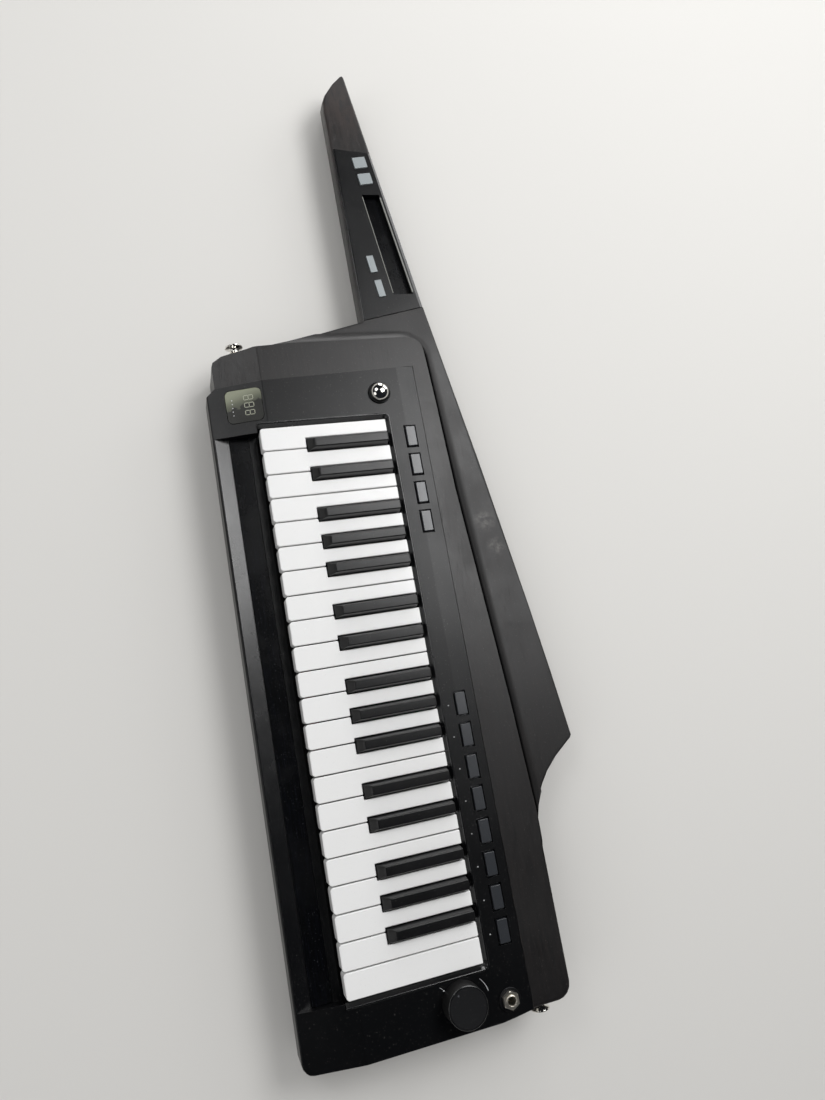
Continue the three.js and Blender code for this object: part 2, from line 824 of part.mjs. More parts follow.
// A keypad: caps on one thin web that lies against the underside of the panel
function keypad(start, count) {
  const front = buttonAcross - buttonWidth / 2 - webMargin;
  const length = (count - 1) * buttonPitch + buttonLength;
  const web = block(
    [start - webMargin, start + length + webMargin],
    [front, front + buttonWidth + 2 * webMargin],
    [webTop - webThickness, webTop],
  );
  const trim = block(
    [start - webMargin, start + length + webMargin],
    [front, front + buttonWidth + 2 * webMargin],
    [0, webTop - webThickness],
  );
  return joined([web, ...panelCaps(start, count, 0)]).subtract(trim);
}

// A knob that stands just clear of the control surface, on a stem through it
function knob(place, radius, height) {
  const bottom = caseTop + touchGap;
  const top = caseTop + height;
  const profile = [
    [0, caseTop - stemDrop],
    [stemRadius, caseTop - stemDrop],
    [stemRadius, bottom],
    [radius, bottom],
    [radius * knobTopShare, top - knobEdge],
    [radius * knobTopShare - knobEdge, top],
    [0, top],
  ];
  return turned(profile, place, largeSides);
}

function domedKnob(place, radius, height) {
  const bottom = caseTop + touchGap;
  const dome = Array.from({ length: coveSteps + 1 }, (_, step) => {
    const angle = (Math.PI / 2) * (step / (coveSteps + 1));
    return [radius * Math.cos(angle), bottom + knobEdge + (height - knobEdge) * Math.sin(angle)];
  });
  const profile = [
    [0, caseTop - stemDrop],
    [stemRadius, caseTop - stemDrop],
    [stemRadius, bottom],
    [radius, bottom],
    ...dome,
    [0, bottom + height],
  ];
  return turned(profile, place, largeSides);
}

// Microphone jack: washer and nut on the surface, threaded sleeve, body below
function micJack() {
  const surface = caseTop + touchGap;
  const washerTop = surface + jackWasherHeight;
  const nutTop = washerTop + jackNutHeight;
  const sleeveTop = nutTop + jackSleeveRise;
  return joined([
    rod(jackWasher, jackPlace, surface, washerTop, largeSides),
    rod(jackNut, jackPlace, surface, nutTop, nutSides),
    rod(jackSleeve, jackPlace, webTop - touchGap, sleeveTop, smallSides),
    rod(jackBody, jackPlace, jackFoot, webTop, smallSides),
  ]).subtract(rod(jackBore, jackPlace, jackFoot + jackWall, sleeveTop + cutOverrun, smallSides));
}

// Ribbons
function longRibbon() {
  const bottom = troughFloor + touchGap;
  return block(
    [troughInset + touchGap, keyboardLength + troughInset - touchGap],
    [ribbonFront + touchGap, ribbonBack - touchGap],
    [bottom, bottom + ribbonThickness],
  );
}

const recessOutline = [
  [recessLow, recessFront],
  [recessLow + recessLength, recessFront + recessSlant * recessLength],
  [recessLow + recessLength, recessFront + recessSlant * recessLength + recessHighWidth],
  [recessLow, recessFront + recessLowWidth],
];

function neckRibbon() {
  const bottom = neckPanelTop - recessDepth + touchGap;
  return grownPrism(recessOutline, bottom, bottom + ribbonThickness, -touchGap);
}

// Neck panel: a cap that forms the top and the outer side of the neck
function neckPanel() {
  const top = neckPanelTop;
  const outer = roundedPrism(woodOutline, 0, top, neckBevel)
    .intersect(prism(neckPanelOutline, neckPanelBottom, top + cutOverrun));
  const inner = grownPrism(woodOutline, 0, top - neckPanelWall, -neckPanelWall - neckPanelRise)
    .intersect(grownPrism(neckPanelOutline, 0, top, -neckPanelWall));
  const well = grownPrism(recessOutline, top - recessDepth - recessFloor, top, neckPanelWall / 2)
    .intersect(outer);
  return cut(outer.subtract(inner).add(well), [
    prism(recessOutline, top - recessDepth, top + cutOverrun),
    ...neckCaps(squarePlaces, squareLength, squareWidth, buttonGap),
    ...neckCaps(longPlaces, longLength, longWidth, buttonGap),
  ]);
}

function tiltedBlock([x, y], length, width, bottom, top) {
  const geometry = new THREE.BoxGeometry(length, width, top - bottom);
  return solid(geometry.rotateZ(neckButtonTilt).translate(x, y, (bottom + top) / 2));
}

function neckCaps(places, length, width, gap) {
  const bottom = neckPanelTop - 2 * neckPanelWall;
  const top = neckPanelTop + neckButtonRise;
  return places.map((spot) => tiltedBlock(spot, length + 2 * gap, width + 2 * gap, bottom, top));
}

// Two caps on a web under the neck panel
function neckKeypad(places, length, width) {
  const top = neckPanelTop - neckPanelWall - touchGap;
  const [first, second] = places;
  const middle = [(first[0] + second[0]) / 2, (first[1] + second[1]) / 2];
  const span = Math.hypot(second[0] - first[0], second[1] - first[1]) + length + webMargin;
  const web = tiltedBlock(middle, span, width + webMargin, top - webThickness, top);
  return joined([web, ...neckCaps(places, length, width, 0)]);
}

// Key frame: a plate on the wood's rims, with rails for the keys and ribs for their board
function keyFrame() {
  const across = [0, keyboardLength];
  const length = [-frameEndMargin, keyboardLength + frameEndMargin];
  const plate = block(length, [frameFront, frameBack], [frameBottom, frameTop]);
  const pivotPlate = [pivotAcross - pivotWeb / 2, pivotAcross + pivotWeb / 2];
  return joined([
    plate,
    block(across, [railFront, railBack], [frameBottom, railTop]),
    block(across, [blackRailFront, blackRailBack], [frameBottom, railTop]),
    block(across, [contactBoardFront, contactBoardFront + ribWidth], [frameBottom, ribTop]),
    block(across, [contactBoardBack - ribWidth, contactBoardBack], [frameBottom, ribTop]),
    block(across, pivotPlate, [frameBottom, pivotHeight]),
    rodAlongX(pivotRadius, across, [pivotAcross, pivotHeight], smallSides),
    ...guidePosts(),
  ]);
}

// Posts that stand in the hollow of each key and keep it from leaning
function guidePosts() {
  const whiteWidth = whiteKeyPitch - keyGap - 2 * keyWall - 2 * guideClearance;
  const blackWidth = blackKeyWidth - 2 * keyWall - 2 * guideClearance;
  const heights = [railTop - cutOverrun, guideTop];
  const post = (centre, width, back) => block(
    [centre - width / 2, centre + width / 2],
    [back - guideDepth, back],
    heights,
  );
  const whites = Array.from({ length: whiteKeyCount }, (_, index) => (index + 0.5) * whiteKeyPitch);
  return [
    ...whites.map((centre) => post(centre, whiteWidth, railBack)),
    ...blackKeyCentres().map((centre) => post(centre, blackWidth, blackRailBack)),
  ];
}

function keyStopFelt() {
  const bottom = railTop + touchGap;
  return block(
    [keyGap, keyboardLength - keyGap],
    [feltFront, feltFront + feltWidth],
    [bottom, bottom + feltThickness],
  );
}

function keyContactBoard() {
  const bottom = ribTop + touchGap;
  return block([0, keyboardLength], [contactBoardFront, contactBoardBack], [bottom, bottom + boardThickness]);
}

function mainBoard() {
  const bottom = bossTop + touchGap;
  return block(
    [mainBoardLow, mainBoardHigh],
    [mainBoardFront, mainBoardBack],
    [bottom, bottom + boardThickness],
  );
}

// Socket plate: the plate and the housings behind it
function plateBlock(margin, overrun) {
  return block(
    [caseTail - caseWall - overrun, caseTail + overrun],
    [plateFront - margin, plateBack + margin],
    [plateBottom - margin, plateTop + margin],
  );
}

function connectorPlate() {
  const middle = (plateBottom + plateTop) / 2;
  const face = caseTail - touchGap;
  const plate = block([face - plateThickness, face], [plateFront, plateBack], [plateBottom, plateTop]);
  const housing = block(
    [face - socketDepth - socketFloor, face - plateThickness + touchGap],
    [plateFront + socketInset, plateBack - socketInset],
    [plateBottom + socketInset, plateTop - socketInset],
  );
  const reach = [face - socketDepth, face + cutOverrun];
  return cut(plate.add(housing), [
    rodAlongX(jackBore, reach, [outputAcross, middle], smallSides),
    rodAlongX(dataRadius, [face - dataDepth, face + cutOverrun], [dataAcross, middle], smallSides),
    rodAlongX(powerRadius, reach, [powerAcross, middle], smallSides),
    block(
      reach,
      [computerAcross - computerWidth / 2, computerAcross + computerWidth / 2],
      [middle - computerHeight / 2, middle + computerHeight / 2],
    ),
  ]);
}

// Keys
function blackKeyCentres() {
  const octaves = Math.floor(whiteKeyCount / octaveKeys);
  return Array.from({ length: octaves }, (_, octave) => octave * octaveKeys)
    .flatMap((first) => blackKeyCentreShares.map((share) => (first + share) * whiteKeyPitch));
}

// Where a white key's rear part lies between the black keys beside it
function whiteKeySides(index) {
  const low = index * whiteKeyPitch;
  const high = low + whiteKeyPitch;
  const clear = blackKeyWidth / 2 + keyGap;
  const edges = { low: low + keyGap / 2, high: high - keyGap / 2 };
  for (const centre of blackKeyCentres()) {
    if (Math.abs(centre - low) < blackKeyWidth / 2) edges.low = centre + clear;
    if (Math.abs(centre - high) < blackKeyWidth / 2) edges.high = centre - clear;
  }
  return edges;
}

// The tail that runs back under the panel, with a saddle over the pivot bead
function keyTail(low, high, rear) {
  const tail = block([low, high], [rear - keyWall, keyTailEnd], [pivotHeight, pivotHeight + keyTailHeight]);
  const saddle = rodAlongX(
    pivotRadius + touchGap,
    [low - cutOverrun, high + cutOverrun],
    [pivotAcross, pivotHeight],
    smallSides,
  );
  return tail.subtract(saddle);
}

function whiteKey(index) {
  const low = index * whiteKeyPitch + keyGap / 2;
  const high = low + whiteKeyPitch - keyGap;
  const waist = blackKeyFront - keyGap;
  const sides = whiteKeySides(index);
  const outline = [
    [low + keyCorner, 0],
    [high - keyCorner, 0],
    [high, keyCorner],
    [high, waist],
    [sides.high, waist],
    [sides.high, whiteKeyLength],
    [sides.low, whiteKeyLength],
    [sides.low, waist],
    [low, waist],
    [low, keyCorner],
  ];
  const hollowHeights = [keyBottom - cutOverrun, keyTop - keyTopWall];
  const frontHollow = block([low + keyWall, high - keyWall], [keyWall, waist - keyWall], hollowHeights);
  const rearHollow = block(
    [sides.low + keyWall, sides.high - keyWall],
    [keyWall, whiteKeyLength - keyWall],
    hollowHeights,
  );
  return cut(prism(outline, keyBottom, keyTop), [frontHollow, rearHollow])
    .add(keyTail(sides.low, sides.high, whiteKeyLength));
}

function blackKey(centre) {
  const low = centre - blackKeyWidth / 2;
  const high = centre + blackKeyWidth / 2;
  const top = keyTop + blackKeyRise;
  const taper = (blackKeyWidth - blackKeyTopWidth) / 2;
  const side = beamAlongX(
    [
      [blackKeyFront, keyBottom],
      [blackKeyRear, keyBottom],
      [blackKeyRear, top],
      [blackKeyFront + blackKeyFrontSlope, top],
      [blackKeyFront, keyTop],
    ],
    low,
    high,
  );
  const front = beamAlongY(
    [
      [low, keyBottom],
      [high, keyBottom],
      [high, keyTop],
      [high - taper, top],
      [low + taper, top],
      [low, keyTop],
    ],
    blackKeyFront,
    blackKeyRear,
  );
  const hollow = block(
    [low + keyWall, high - keyWall],
    [blackKeyFront + blackKeyFrontSlope, blackKeyRear - keyWall],
    [keyBottom - cutOverrun, top - 2 * keyTopWall],
  );
  return side.intersect(front).subtract(hollow).add(keyTail(low, high, blackKeyRear));
}

// Assembly
addPiece("wood_body", woodBody(), paintedWood);
addPiece("control_panel", controlPanel(), blackPlastic);
addPiece("rear_cover", rearCover(), blackPlastic);
addPiece("battery_box", batteryBox(), framePlastic);
addPiece("battery_door", batteryDoor(), blackPlastic);
addPiece("long_ribbon", longRibbon(), glossBlack);
addPiece("display_window", displayBlock(0), glossBlack);
addPiece("value_dial", domedKnob(dialPlace, dialRadius, dialHeight), chrome);
addPiece("volume_knob", knob(volumePlace, volumeRadius, volumeHeight), knobRubber);
addPiece("mic_jack", micJack(), chrome);
addPiece("function_keypad", keypad(functionStart, functionCount), smokedPlastic);
addPiece("program_keypad", keypad(programStart, programCount), smokedPlastic);
addPiece("neck_panel", neckPanel(), blackPlastic);
addPiece("neck_ribbon", neckRibbon(), glossBlack);
addPiece("neck_square_keypad", neckKeypad(squarePlaces, squareLength, squareWidth), greyRubber);
addPiece("neck_long_keypad", neckKeypad(longPlaces, longLength, longWidth), greyRubber);
addPiece("strap_pin_neck_side", strapPin(neckPinSeat, neckPinAcross, -1), chrome);
addPiece("strap_pin_tail", strapPin(tailPinSeat, tailPinAcross, 1), chrome);
addPiece("key_frame", keyFrame(), framePlastic);
addPiece("key_stop_felt", keyStopFelt(), redFelt);
addPiece("key_contact_board", keyContactBoard(), boardLaminate);
addPiece("main_board", mainBoard(), boardLaminate);
addPiece("connector_plate", connectorPlate(), blackPlastic);

for (let index = 0; index < whiteKeyCount; index += 1) {
  const octave = Math.floor(index / octaveKeys) + 1;
  addPiece(`key_${whiteNames[index % octaveKeys]}${octave}`, whiteKey(index), whiteKeyPlastic);
}

blackKeyCentres().forEach((centre, index) => {
  const octave = Math.floor(index / blackNames.length) + 1;
  addPiece(`key_${blackNames[index % blackNames.length]}${octave}`, blackKey(centre), blackKeyPlastic);
});

// The frame's origin is under the middle of the whole instrument, on its back
const whole = new THREE.Box3().setFromObject(instrument);
instrument.position.set(-(whole.min.x + whole.max.x) / 2, -(whole.min.y + whole.max.y) / 2, -whole.min.z);

export default instrument;
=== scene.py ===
# %% [markdown]
# # A keytar
# A keytar is a small keyboard that hangs on a strap and is played like a guitar. This lesson dresses one
# around its engineering model: the model fixes every size and every joint, and here each piece gets its
# rounded edges, its small fittings and its finish. Work starts by loading that model.

# %% Load the fixed model
import math

import bmesh
import bpy
from mathutils import Matrix, Vector


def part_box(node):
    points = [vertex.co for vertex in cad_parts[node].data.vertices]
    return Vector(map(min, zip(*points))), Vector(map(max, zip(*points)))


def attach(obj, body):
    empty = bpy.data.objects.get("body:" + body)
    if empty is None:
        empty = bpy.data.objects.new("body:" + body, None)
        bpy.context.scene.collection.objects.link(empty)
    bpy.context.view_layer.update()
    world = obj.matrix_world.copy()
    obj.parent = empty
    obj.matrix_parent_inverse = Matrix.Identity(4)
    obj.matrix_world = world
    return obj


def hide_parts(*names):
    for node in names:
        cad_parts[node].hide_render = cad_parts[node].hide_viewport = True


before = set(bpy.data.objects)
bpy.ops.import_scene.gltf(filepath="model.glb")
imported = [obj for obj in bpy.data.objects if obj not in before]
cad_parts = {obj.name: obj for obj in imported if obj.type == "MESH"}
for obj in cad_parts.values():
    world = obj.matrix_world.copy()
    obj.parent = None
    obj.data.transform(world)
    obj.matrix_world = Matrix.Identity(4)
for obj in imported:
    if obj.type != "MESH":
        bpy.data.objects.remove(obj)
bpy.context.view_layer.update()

# %% [markdown]
# ## One corner to measure from
# Everything on a keyboard is laid out from its lowest key, so places in this lesson are given in
# millimetres from that corner: along the keyboard, back across the keys, and up from the instrument's
# back. The corner is read from the lowest white key, which keeps the places right if the model moves.

# %% Places on the keyboard
MM = 0.001
KEY_GAP = 0.9
lowest_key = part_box("key_c1")[0]
CORNER = Vector((lowest_key.x - KEY_GAP / 2 * MM, lowest_key.y, 0))


def at(along, across, up):
    """A place in metres, from a place on the keyboard in millimetres."""
    return CORNER + Vector((along, across, up)) * MM


def reach_of(node):
    """The lowest and the highest corner of a node's box, as places on the keyboard."""
    return [(corner - CORNER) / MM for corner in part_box(node)]


def top_of(node):
    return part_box(node)[1].z / MM


def middle_of(node):
    low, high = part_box(node)
    return (low + high) / 2


DECK = top_of("wood_body")
CASE_TOP = top_of("control_panel")
print("keyboard corner at", [round(v, 4) for v in CORNER])
print("wooden deck at", round(DECK, 2), "mm and case at", round(CASE_TOP, 2), "mm")

# %% [markdown]
# ## The camera
# The camera comes before anything else, because every choice of detail depends on what it sees. It looks
# down on the instrument from beyond its tail, close enough for the neck to shrink with distance. A place,
# a target and the way that counts as up on the floor are enough to aim it.

# %% Camera
CAMERA_PLACE = Vector((0.16404, -0.18090, 0.70042))
CAMERA_TARGET = Vector((0.0378, 0.0320, 0.0))
CAMERA_UP_HEADING = math.radians(169.5)
CAMERA_LENS = 27.03
NEAREST_SEEN = 0.01


def aim(place, target, heading):
    forward = (target - place).normalized()
    up_hint = Vector((math.cos(heading), math.sin(heading), 0))
    right = forward.cross(up_hint).normalized()
    up = right.cross(forward)
    turn = Matrix((right, up, -forward)).transposed()
    return Matrix.Translation(place) @ turn.to_4x4()


camera_data = bpy.data.cameras.new("Camera")
camera_data.lens = CAMERA_LENS
camera_data.clip_start = NEAREST_SEEN
camera = bpy.data.objects.new("Camera", camera_data)
camera.matrix_world = aim(CAMERA_PLACE, CAMERA_TARGET, CAMERA_UP_HEADING)
bpy.context.collection.objects.link(camera)
bpy.context.scene.camera = camera
print("camera looks from", [round(v, 3) for v in CAMERA_PLACE])

# %% [markdown]
# ## Adding nodes
# Floor, sky, finishes and repeated shapes are all made of nodes, and each node takes the same three
# steps: add it, set its options, and give its inputs a number or a link. Two small helpers do that, so
# that a node takes one line. Three more cover the nodes that come up most: sums, ramps and noise.

# %% Node helpers
def feed(tree, node, inputs):
    """Links the sockets given for a node's inputs, and sets the other values."""
    for socket, value in inputs.items():
        if isinstance(value, bpy.types.NodeSocket):
            tree.links.new(value, node.inputs[socket])
        else:
            node.inputs[socket].default_value = value


def add_node(tree, kind, inputs=None, **options):
    """Adds a node, sets its options and feeds its inputs."""
    node = tree.nodes.new(kind)
    for option, value in options.items():
        setattr(node, option, value)
    feed(tree, node, inputs or {})
    return node


def math_node(tree, operation, first, second):
    return add_node(tree, "ShaderNodeMath", {0: first, 1: second}, operation=operation).outputs[0]


def ramp_node(tree, value, low, high, top=1.0):
    """Rises smoothly from 0 to the top while a value goes from low to high."""
    values = {"Value": value, "From Min": low, "From Max": high, "To Max": top}
    return add_node(tree, "ShaderNodeMapRange", values, interpolation_type="SMOOTHSTEP").outputs["Result"]


def noise_node(tree, vector, scale, detail=3.0, roughness=0.5):
    values = {"Vector": vector, "Scale": scale, "Detail": detail, "Roughness": roughness}
    return add_node(tree, "ShaderNodeTexNoise", values).outputs["Fac"]


# %% [markdown]
# ## Floor, world and lamps
# Black plastic has little colour of its own, so what it mirrors decides how it looks. A pale floor and a
# pale horizon give its edges a soft line, a dark ceiling keeps its faces black, and one large lamp beyond
# the neck lays a cool sheen on that half of the panel. Two low lamps graze the edges from the neck end
# and from the wing side, which draws a bright line along every rounded rim. Behind it all, the camera
# sees a plain pale ground.

# %% Floor
# For the camera alone, the floor glows more and more from some way off, where the lamps don't reach it.
FLOOR_SIZE = 12.0
FLOOR_DROP = 0.0006
FLOOR_COLOUR = (0.65, 0.64, 0.618, 1)
FLOOR_ROUGHNESS = 0.9
GLOW_NEAR = 0.9
GLOW_FAR = 3.6
GLOW_STRENGTH = 0.72

half = FLOOR_SIZE / 2
floor_square = [(-half, -half), (half, -half), (half, half), (-half, half)]
floor_corners = [(x, y, -FLOOR_DROP) for x, y in floor_square]
floor_mesh = bpy.data.meshes.new("Floor")
floor_mesh.from_pydata(floor_corners, [], [(0, 1, 2, 3)])
floor = bpy.data.objects.new("Floor", floor_mesh)
bpy.context.collection.objects.link(floor)
floor_paint = bpy.data.materials.new("Pale floor")
floor_paint.use_nodes = True
floor_tree = floor_paint.node_tree
place = add_node(floor_tree, "ShaderNodeTexCoord").outputs["Object"]
distance = add_node(floor_tree, "ShaderNodeVectorMath", {0: place}, operation="LENGTH").outputs["Value"]
glow = ramp_node(floor_tree, distance, GLOW_NEAR, GLOW_FAR, GLOW_STRENGTH)
camera_ray = add_node(floor_tree, "ShaderNodeLightPath").outputs["Is Camera Ray"]
feed(floor_tree, floor_tree.nodes["Principled BSDF"], {
    "Base Color": FLOOR_COLOUR,
    "Roughness": FLOOR_ROUGHNESS,
    "Emission Color": FLOOR_COLOUR,
    "Emission Strength": math_node(floor_tree, "MULTIPLY", glow, camera_ray),
})
floor_mesh.materials.append(floor_paint)
print("floor of", FLOOR_SIZE, "m, glowing from", GLOW_NEAR, "m off")

# %% World
# Metal and gloss mirror a pale horizon and a dark ceiling, and the camera sees the horizon's colour alone.
HORIZON_COLOUR = (0.80, 0.79, 0.77, 1)
CEILING_COLOUR = (0.008, 0.009, 0.012, 1)
WHITE = (1, 1, 1, 1)
HORIZON_HEIGHT = 0.02
CEILING_HEIGHT = 0.26
SKY_LIGHT = 0.44

world = bpy.data.worlds.new("Studio")
bpy.context.scene.world = world
world.use_nodes = True
sky = world.node_tree
sky.nodes.clear()
direction = add_node(sky, "ShaderNodeTexCoord").outputs["Generated"]
height = add_node(sky, "ShaderNodeSeparateXYZ", {0: direction}).outputs["Z"]
upward = ramp_node(sky, height, HORIZON_HEIGHT, CEILING_HEIGHT)
fade = add_node(
    sky, "ShaderNodeMix", {"Factor": upward, 6: HORIZON_COLOUR, 7: CEILING_COLOUR}, data_type="RGBA",
).outputs[2]
mirrored = add_node(sky, "ShaderNodeBackground", {"Color": fade, "Strength": 1.0}).outputs[0]
backdrop = add_node(sky, "ShaderNodeBackground", {"Color": HORIZON_COLOUR, "Strength": 1.0}).outputs[0]
sky_light = add_node(sky, "ShaderNodeBackground", {"Color": WHITE, "Strength": SKY_LIGHT}).outputs[0]
rays = add_node(sky, "ShaderNodeLightPath").outputs
mirror_ray = math_node(sky, "MAXIMUM", rays["Is Glossy Ray"], rays["Is Transmission Ray"])
unseen = add_node(sky, "ShaderNodeMixShader", {0: mirror_ray, 1: sky_light, 2: mirrored}).outputs[0]
by_ray = {0: rays["Is Camera Ray"], 1: unseen, 2: backdrop}
any_ray = add_node(sky, "ShaderNodeMixShader", by_ray).outputs[0]
add_node(sky, "ShaderNodeOutputWorld", {"Surface": any_ray})
print("world of", len(sky.nodes), "nodes")

# %% Lamps
# Each has a place, a target, a size and a power.
LAMPS = [
    ("Sheen softbox", (-0.42, 0.72, 1.45), (-0.05, 0.05, 0.0), 0.8, 14.0),
    ("Slope softbox", (-0.78, -0.72, 1.30), (-0.05, -0.10, 0.0), 0.6, 4.0),
    ("Front softbox", (0.35, -1.70, 1.20), (0.05, 0.0, 0.0), 1.0, 4.5),
    ("Neck rim softbox", (-1.43, 0.40, 0.40), (0.1, 0.0, 0.0), 0.5, 4.5),
    ("Wing rim softbox", (-1.18, 1.36, 0.62), (-0.2, 0.0, 0.0), 0.9, 6.0),
]
for lamp_name, place, target, size, power in LAMPS:
    lamp_data = bpy.data.lights.new(lamp_name, "AREA")
    lamp_data.shape = "SQUARE"
    lamp_data.size = size
    lamp_data.energy = power
    lamp = bpy.data.objects.new(lamp_name, lamp_data)
    lamp.location = place
    lamp.rotation_euler = (Vector(target) - Vector(place)).to_track_quat("-Z", "Y").to_euler()
    bpy.context.collection.objects.link(lamp)
bpy.context.scene.view_settings.view_transform = "Standard"
print(len(LAMPS), "lamps")

# %% [markdown]
# ## Shared effects as node groups
# Moulded plastic, lacquer and rubber differ in numbers more than in kind. So the effects that they share
# are built once, as node groups that put out heights and masks, and each material sets its own values: a
# fine grain, the smears that hands leave, and the wear that bares an edge.

# %% A new group
def new_group(name, inputs, outputs):
    group = bpy.data.node_groups.new(name, "ShaderNodeTree")
    for socket_name, value in inputs:
        socket = group.interface.new_socket(socket_name, in_out="INPUT", socket_type="NodeSocketFloat")
        socket.default_value = value
    for socket_name in outputs:
        group.interface.new_socket(socket_name, in_out="OUTPUT", socket_type="NodeSocketFloat")
    start = group.nodes.new("NodeGroupInput")
    end = group.nodes.new("NodeGroupOutput")
    place = add_node(group, "ShaderNodeTexCoord").outputs["Object"]
    return group, start.outputs, end, place


# %% Fine grain
# Scale counts grains per metre. Height feeds a bump, and Mottle shifts colour or roughness.
GRAIN, given, end, place = new_group(
    "Fine grain", [("Scale", 1500.0), ("Mottle scale", 40.0)], ["Height", "Mottle"],
)
feed(GRAIN, end, {
    "Height": noise_node(GRAIN, place, given["Scale"], 2.0),
    "Mottle": noise_node(GRAIN, place, given["Mottle scale"], 4.0, 0.6),
})
print("group:", GRAIN.name)

# %% Handling
# Broad smears from hands, and specks of dust on top of them.
HANDLING, given, end, place = new_group(
    "Handling", [("Smear scale", 14.0), ("Dust scale", 900.0)], ["Smear", "Dust"],
)
broad = noise_node(HANDLING, place, given["Smear scale"], 5.0, 0.65)
specks = noise_node(HANDLING, place, given["Dust scale"], 1.0)
feed(HANDLING, end, {
    "Smear": ramp_node(HANDLING, broad, 0.42, 0.68),
    "Dust": ramp_node(HANDLING, specks, 0.69, 0.76),
})
print("group:", HANDLING.name)

# %% Edge wear
# Where a rounded normal leaves the true one there is an edge, and noise breaks the worn line up.
WEAR, given, end, place = new_group("Edge wear", [("Radius", 0.001), ("Breakup scale", 120.0)], ["Worn"])
soft_normal = add_node(WEAR, "ShaderNodeBevel", {"Radius": given["Radius"]}, samples=4).outputs[0]
true_normal = add_node(WEAR, "ShaderNodeNewGeometry").outputs["Normal"]
agreement = add_node(
    WEAR, "ShaderNodeVectorMath", {0: soft_normal, 1: true_normal}, operation="DOT_PRODUCT",
).outputs["Value"]
edge = ramp_node(WEAR, math_node(WEAR, "SUBTRACT", 1.0, agreement), 0.02, 0.16)
breakup = ramp_node(WEAR, noise_node(WEAR, place, given["Breakup scale"], 4.0), 0.48, 0.64)
feed(WEAR, end, {"Worn": math_node(WEAR, "MULTIPLY", edge, breakup)})
print("group:", WEAR.name)

# %% [markdown]
# ## Materials
# Each finish is a small function of its own. A plain start holds the principled shader and short ways to
# add to it, and a moulded start goes on with a roughness that the mottle shifts and a bump from the fine
# grain. What the real finish adds comes after that, such as the wood's long figure or smears on the keys.

# %% Material helpers
def spaced(values):
    """Turns the underscores of keyword names into the spaces that socket names have."""
    return {name.replace("_", " "): value for name, value in values.items()}


class Finish:
    """A material with its shader, and short ways to wire effects into it."""

    def __init__(self, name, colour, roughness, metallic=0.0):
        self.material = bpy.data.materials.new(name)
        self.material.use_nodes = True
        self.tree = self.material.node_tree
        self.shader = self.tree.nodes["Principled BSDF"]
        self.set(Base_Color=(*colour, 1), Roughness=roughness, Metallic=metallic)

    def set(self, **values):
        feed(self.tree, self.shader, spaced(values))

    def add(self, kind, inputs=None, **options):
        return add_node(self.tree, kind, inputs, **options).outputs

    def group(self, group, **values):
        return self.add("ShaderNodeGroup", spaced(values), node_tree=group)

    def combine(self, operation, first, second):
        return math_node(self.tree, operation, first, second)

    def ramp(self, value, low, high):
        return ramp_node(self.tree, value, low, high)

    def place(self, stretch=(1, 1, 1)):
        coordinates = self.add("ShaderNodeTexCoord")["Object"]
        return self.add("ShaderNodeMapping", {"Vector": coordinates, "Scale": stretch})[0]

    def noise(self, stretch, scale, detail=3.0, roughness=0.5):
        return noise_node(self.tree, self.place(stretch), scale, detail, roughness)

    def shade(self, mask, colour, amount=1.0):
        """Mixes another colour over what feeds the base colour, where the mask is high."""
        base = self.shader.inputs["Base Color"]
        under = base.links[0].from_socket if base.is_linked else base.default_value
        share = self.combine("MULTIPLY", mask, amount)
        mixed = self.add("ShaderNodeMix", {6: under, 7: (*colour, 1), "Factor": share}, data_type="RGBA")
        self.tree.links.new(mixed[2], base)

    def roughen(self, mask, low, high):
        """Runs the roughness from low to high as the mask goes from 0 to 1, on top of what is there."""
        result = self.add("ShaderNodeMapRange", {"Value": mask, "To Min": low, "To Max": high})["Result"]
        rough = self.shader.inputs["Roughness"]
        if rough.is_linked:
            result = self.combine("ADD", rough.links[0].from_socket, result)
        self.tree.links.new(result, rough)

    def bump(self, height, distance):
        """Raises the surface by a height, on top of the bumps that are there."""
        inputs = {"Height": height, "Distance": distance, "Strength": 1.0}
        normal = self.shader.inputs["Normal"]
        if normal.is_linked:
            inputs["Normal"] = normal.links[0].from_socket
        self.tree.links.new(self.add("ShaderNodeBump", inputs)[0], normal)


PLASTIC_DUST = (0.35, 0.34, 0.32)


def moulded(name, colour, roughness, grain_scale, grain_depth, mottle=0.08, smear=0.06):
    """Plastic or rubber from a mould: grain, uneven gloss, smears and a little dust."""
    finish = Finish(name, colour, roughness)
    grain = finish.group(GRAIN, Scale=grain_scale)
    handling = finish.group(HANDLING)
    finish.roughen(grain["Mottle"], roughness - mottle / 2, roughness + mottle / 2)
    finish.roughen(handling["Smear"], 0.0, smear)
    finish.shade(handling["Dust"], PLASTIC_DUST, 0.10)
    finish.bump(grain["Height"], grain_depth)
    return finish


# %% [markdown]
# ## Painted wood
# The body is painted so thinly in black that the figure and the pores of the wood still show. Use has
# scuffed it in a few places, and bared brown patches on the neck. The cove beside the deck lies in its
# own deep shadow, so its steep wall takes no gloss. All of it is one material, built up in the order
# in which a maker, the years and the light would do it.

# %% Wood, paint and wear
WOOD_BLACK = (0.0050, 0.0043, 0.0045)
WOOD_FIGURE = (0.0096, 0.0070, 0.0066)
WOOD_PORES = (0.0025, 0.002, 0.002)
WOOD_DUST = (0.28, 0.26, 0.24)
WOOD_WORN = (0.060, 0.050, 0.046)


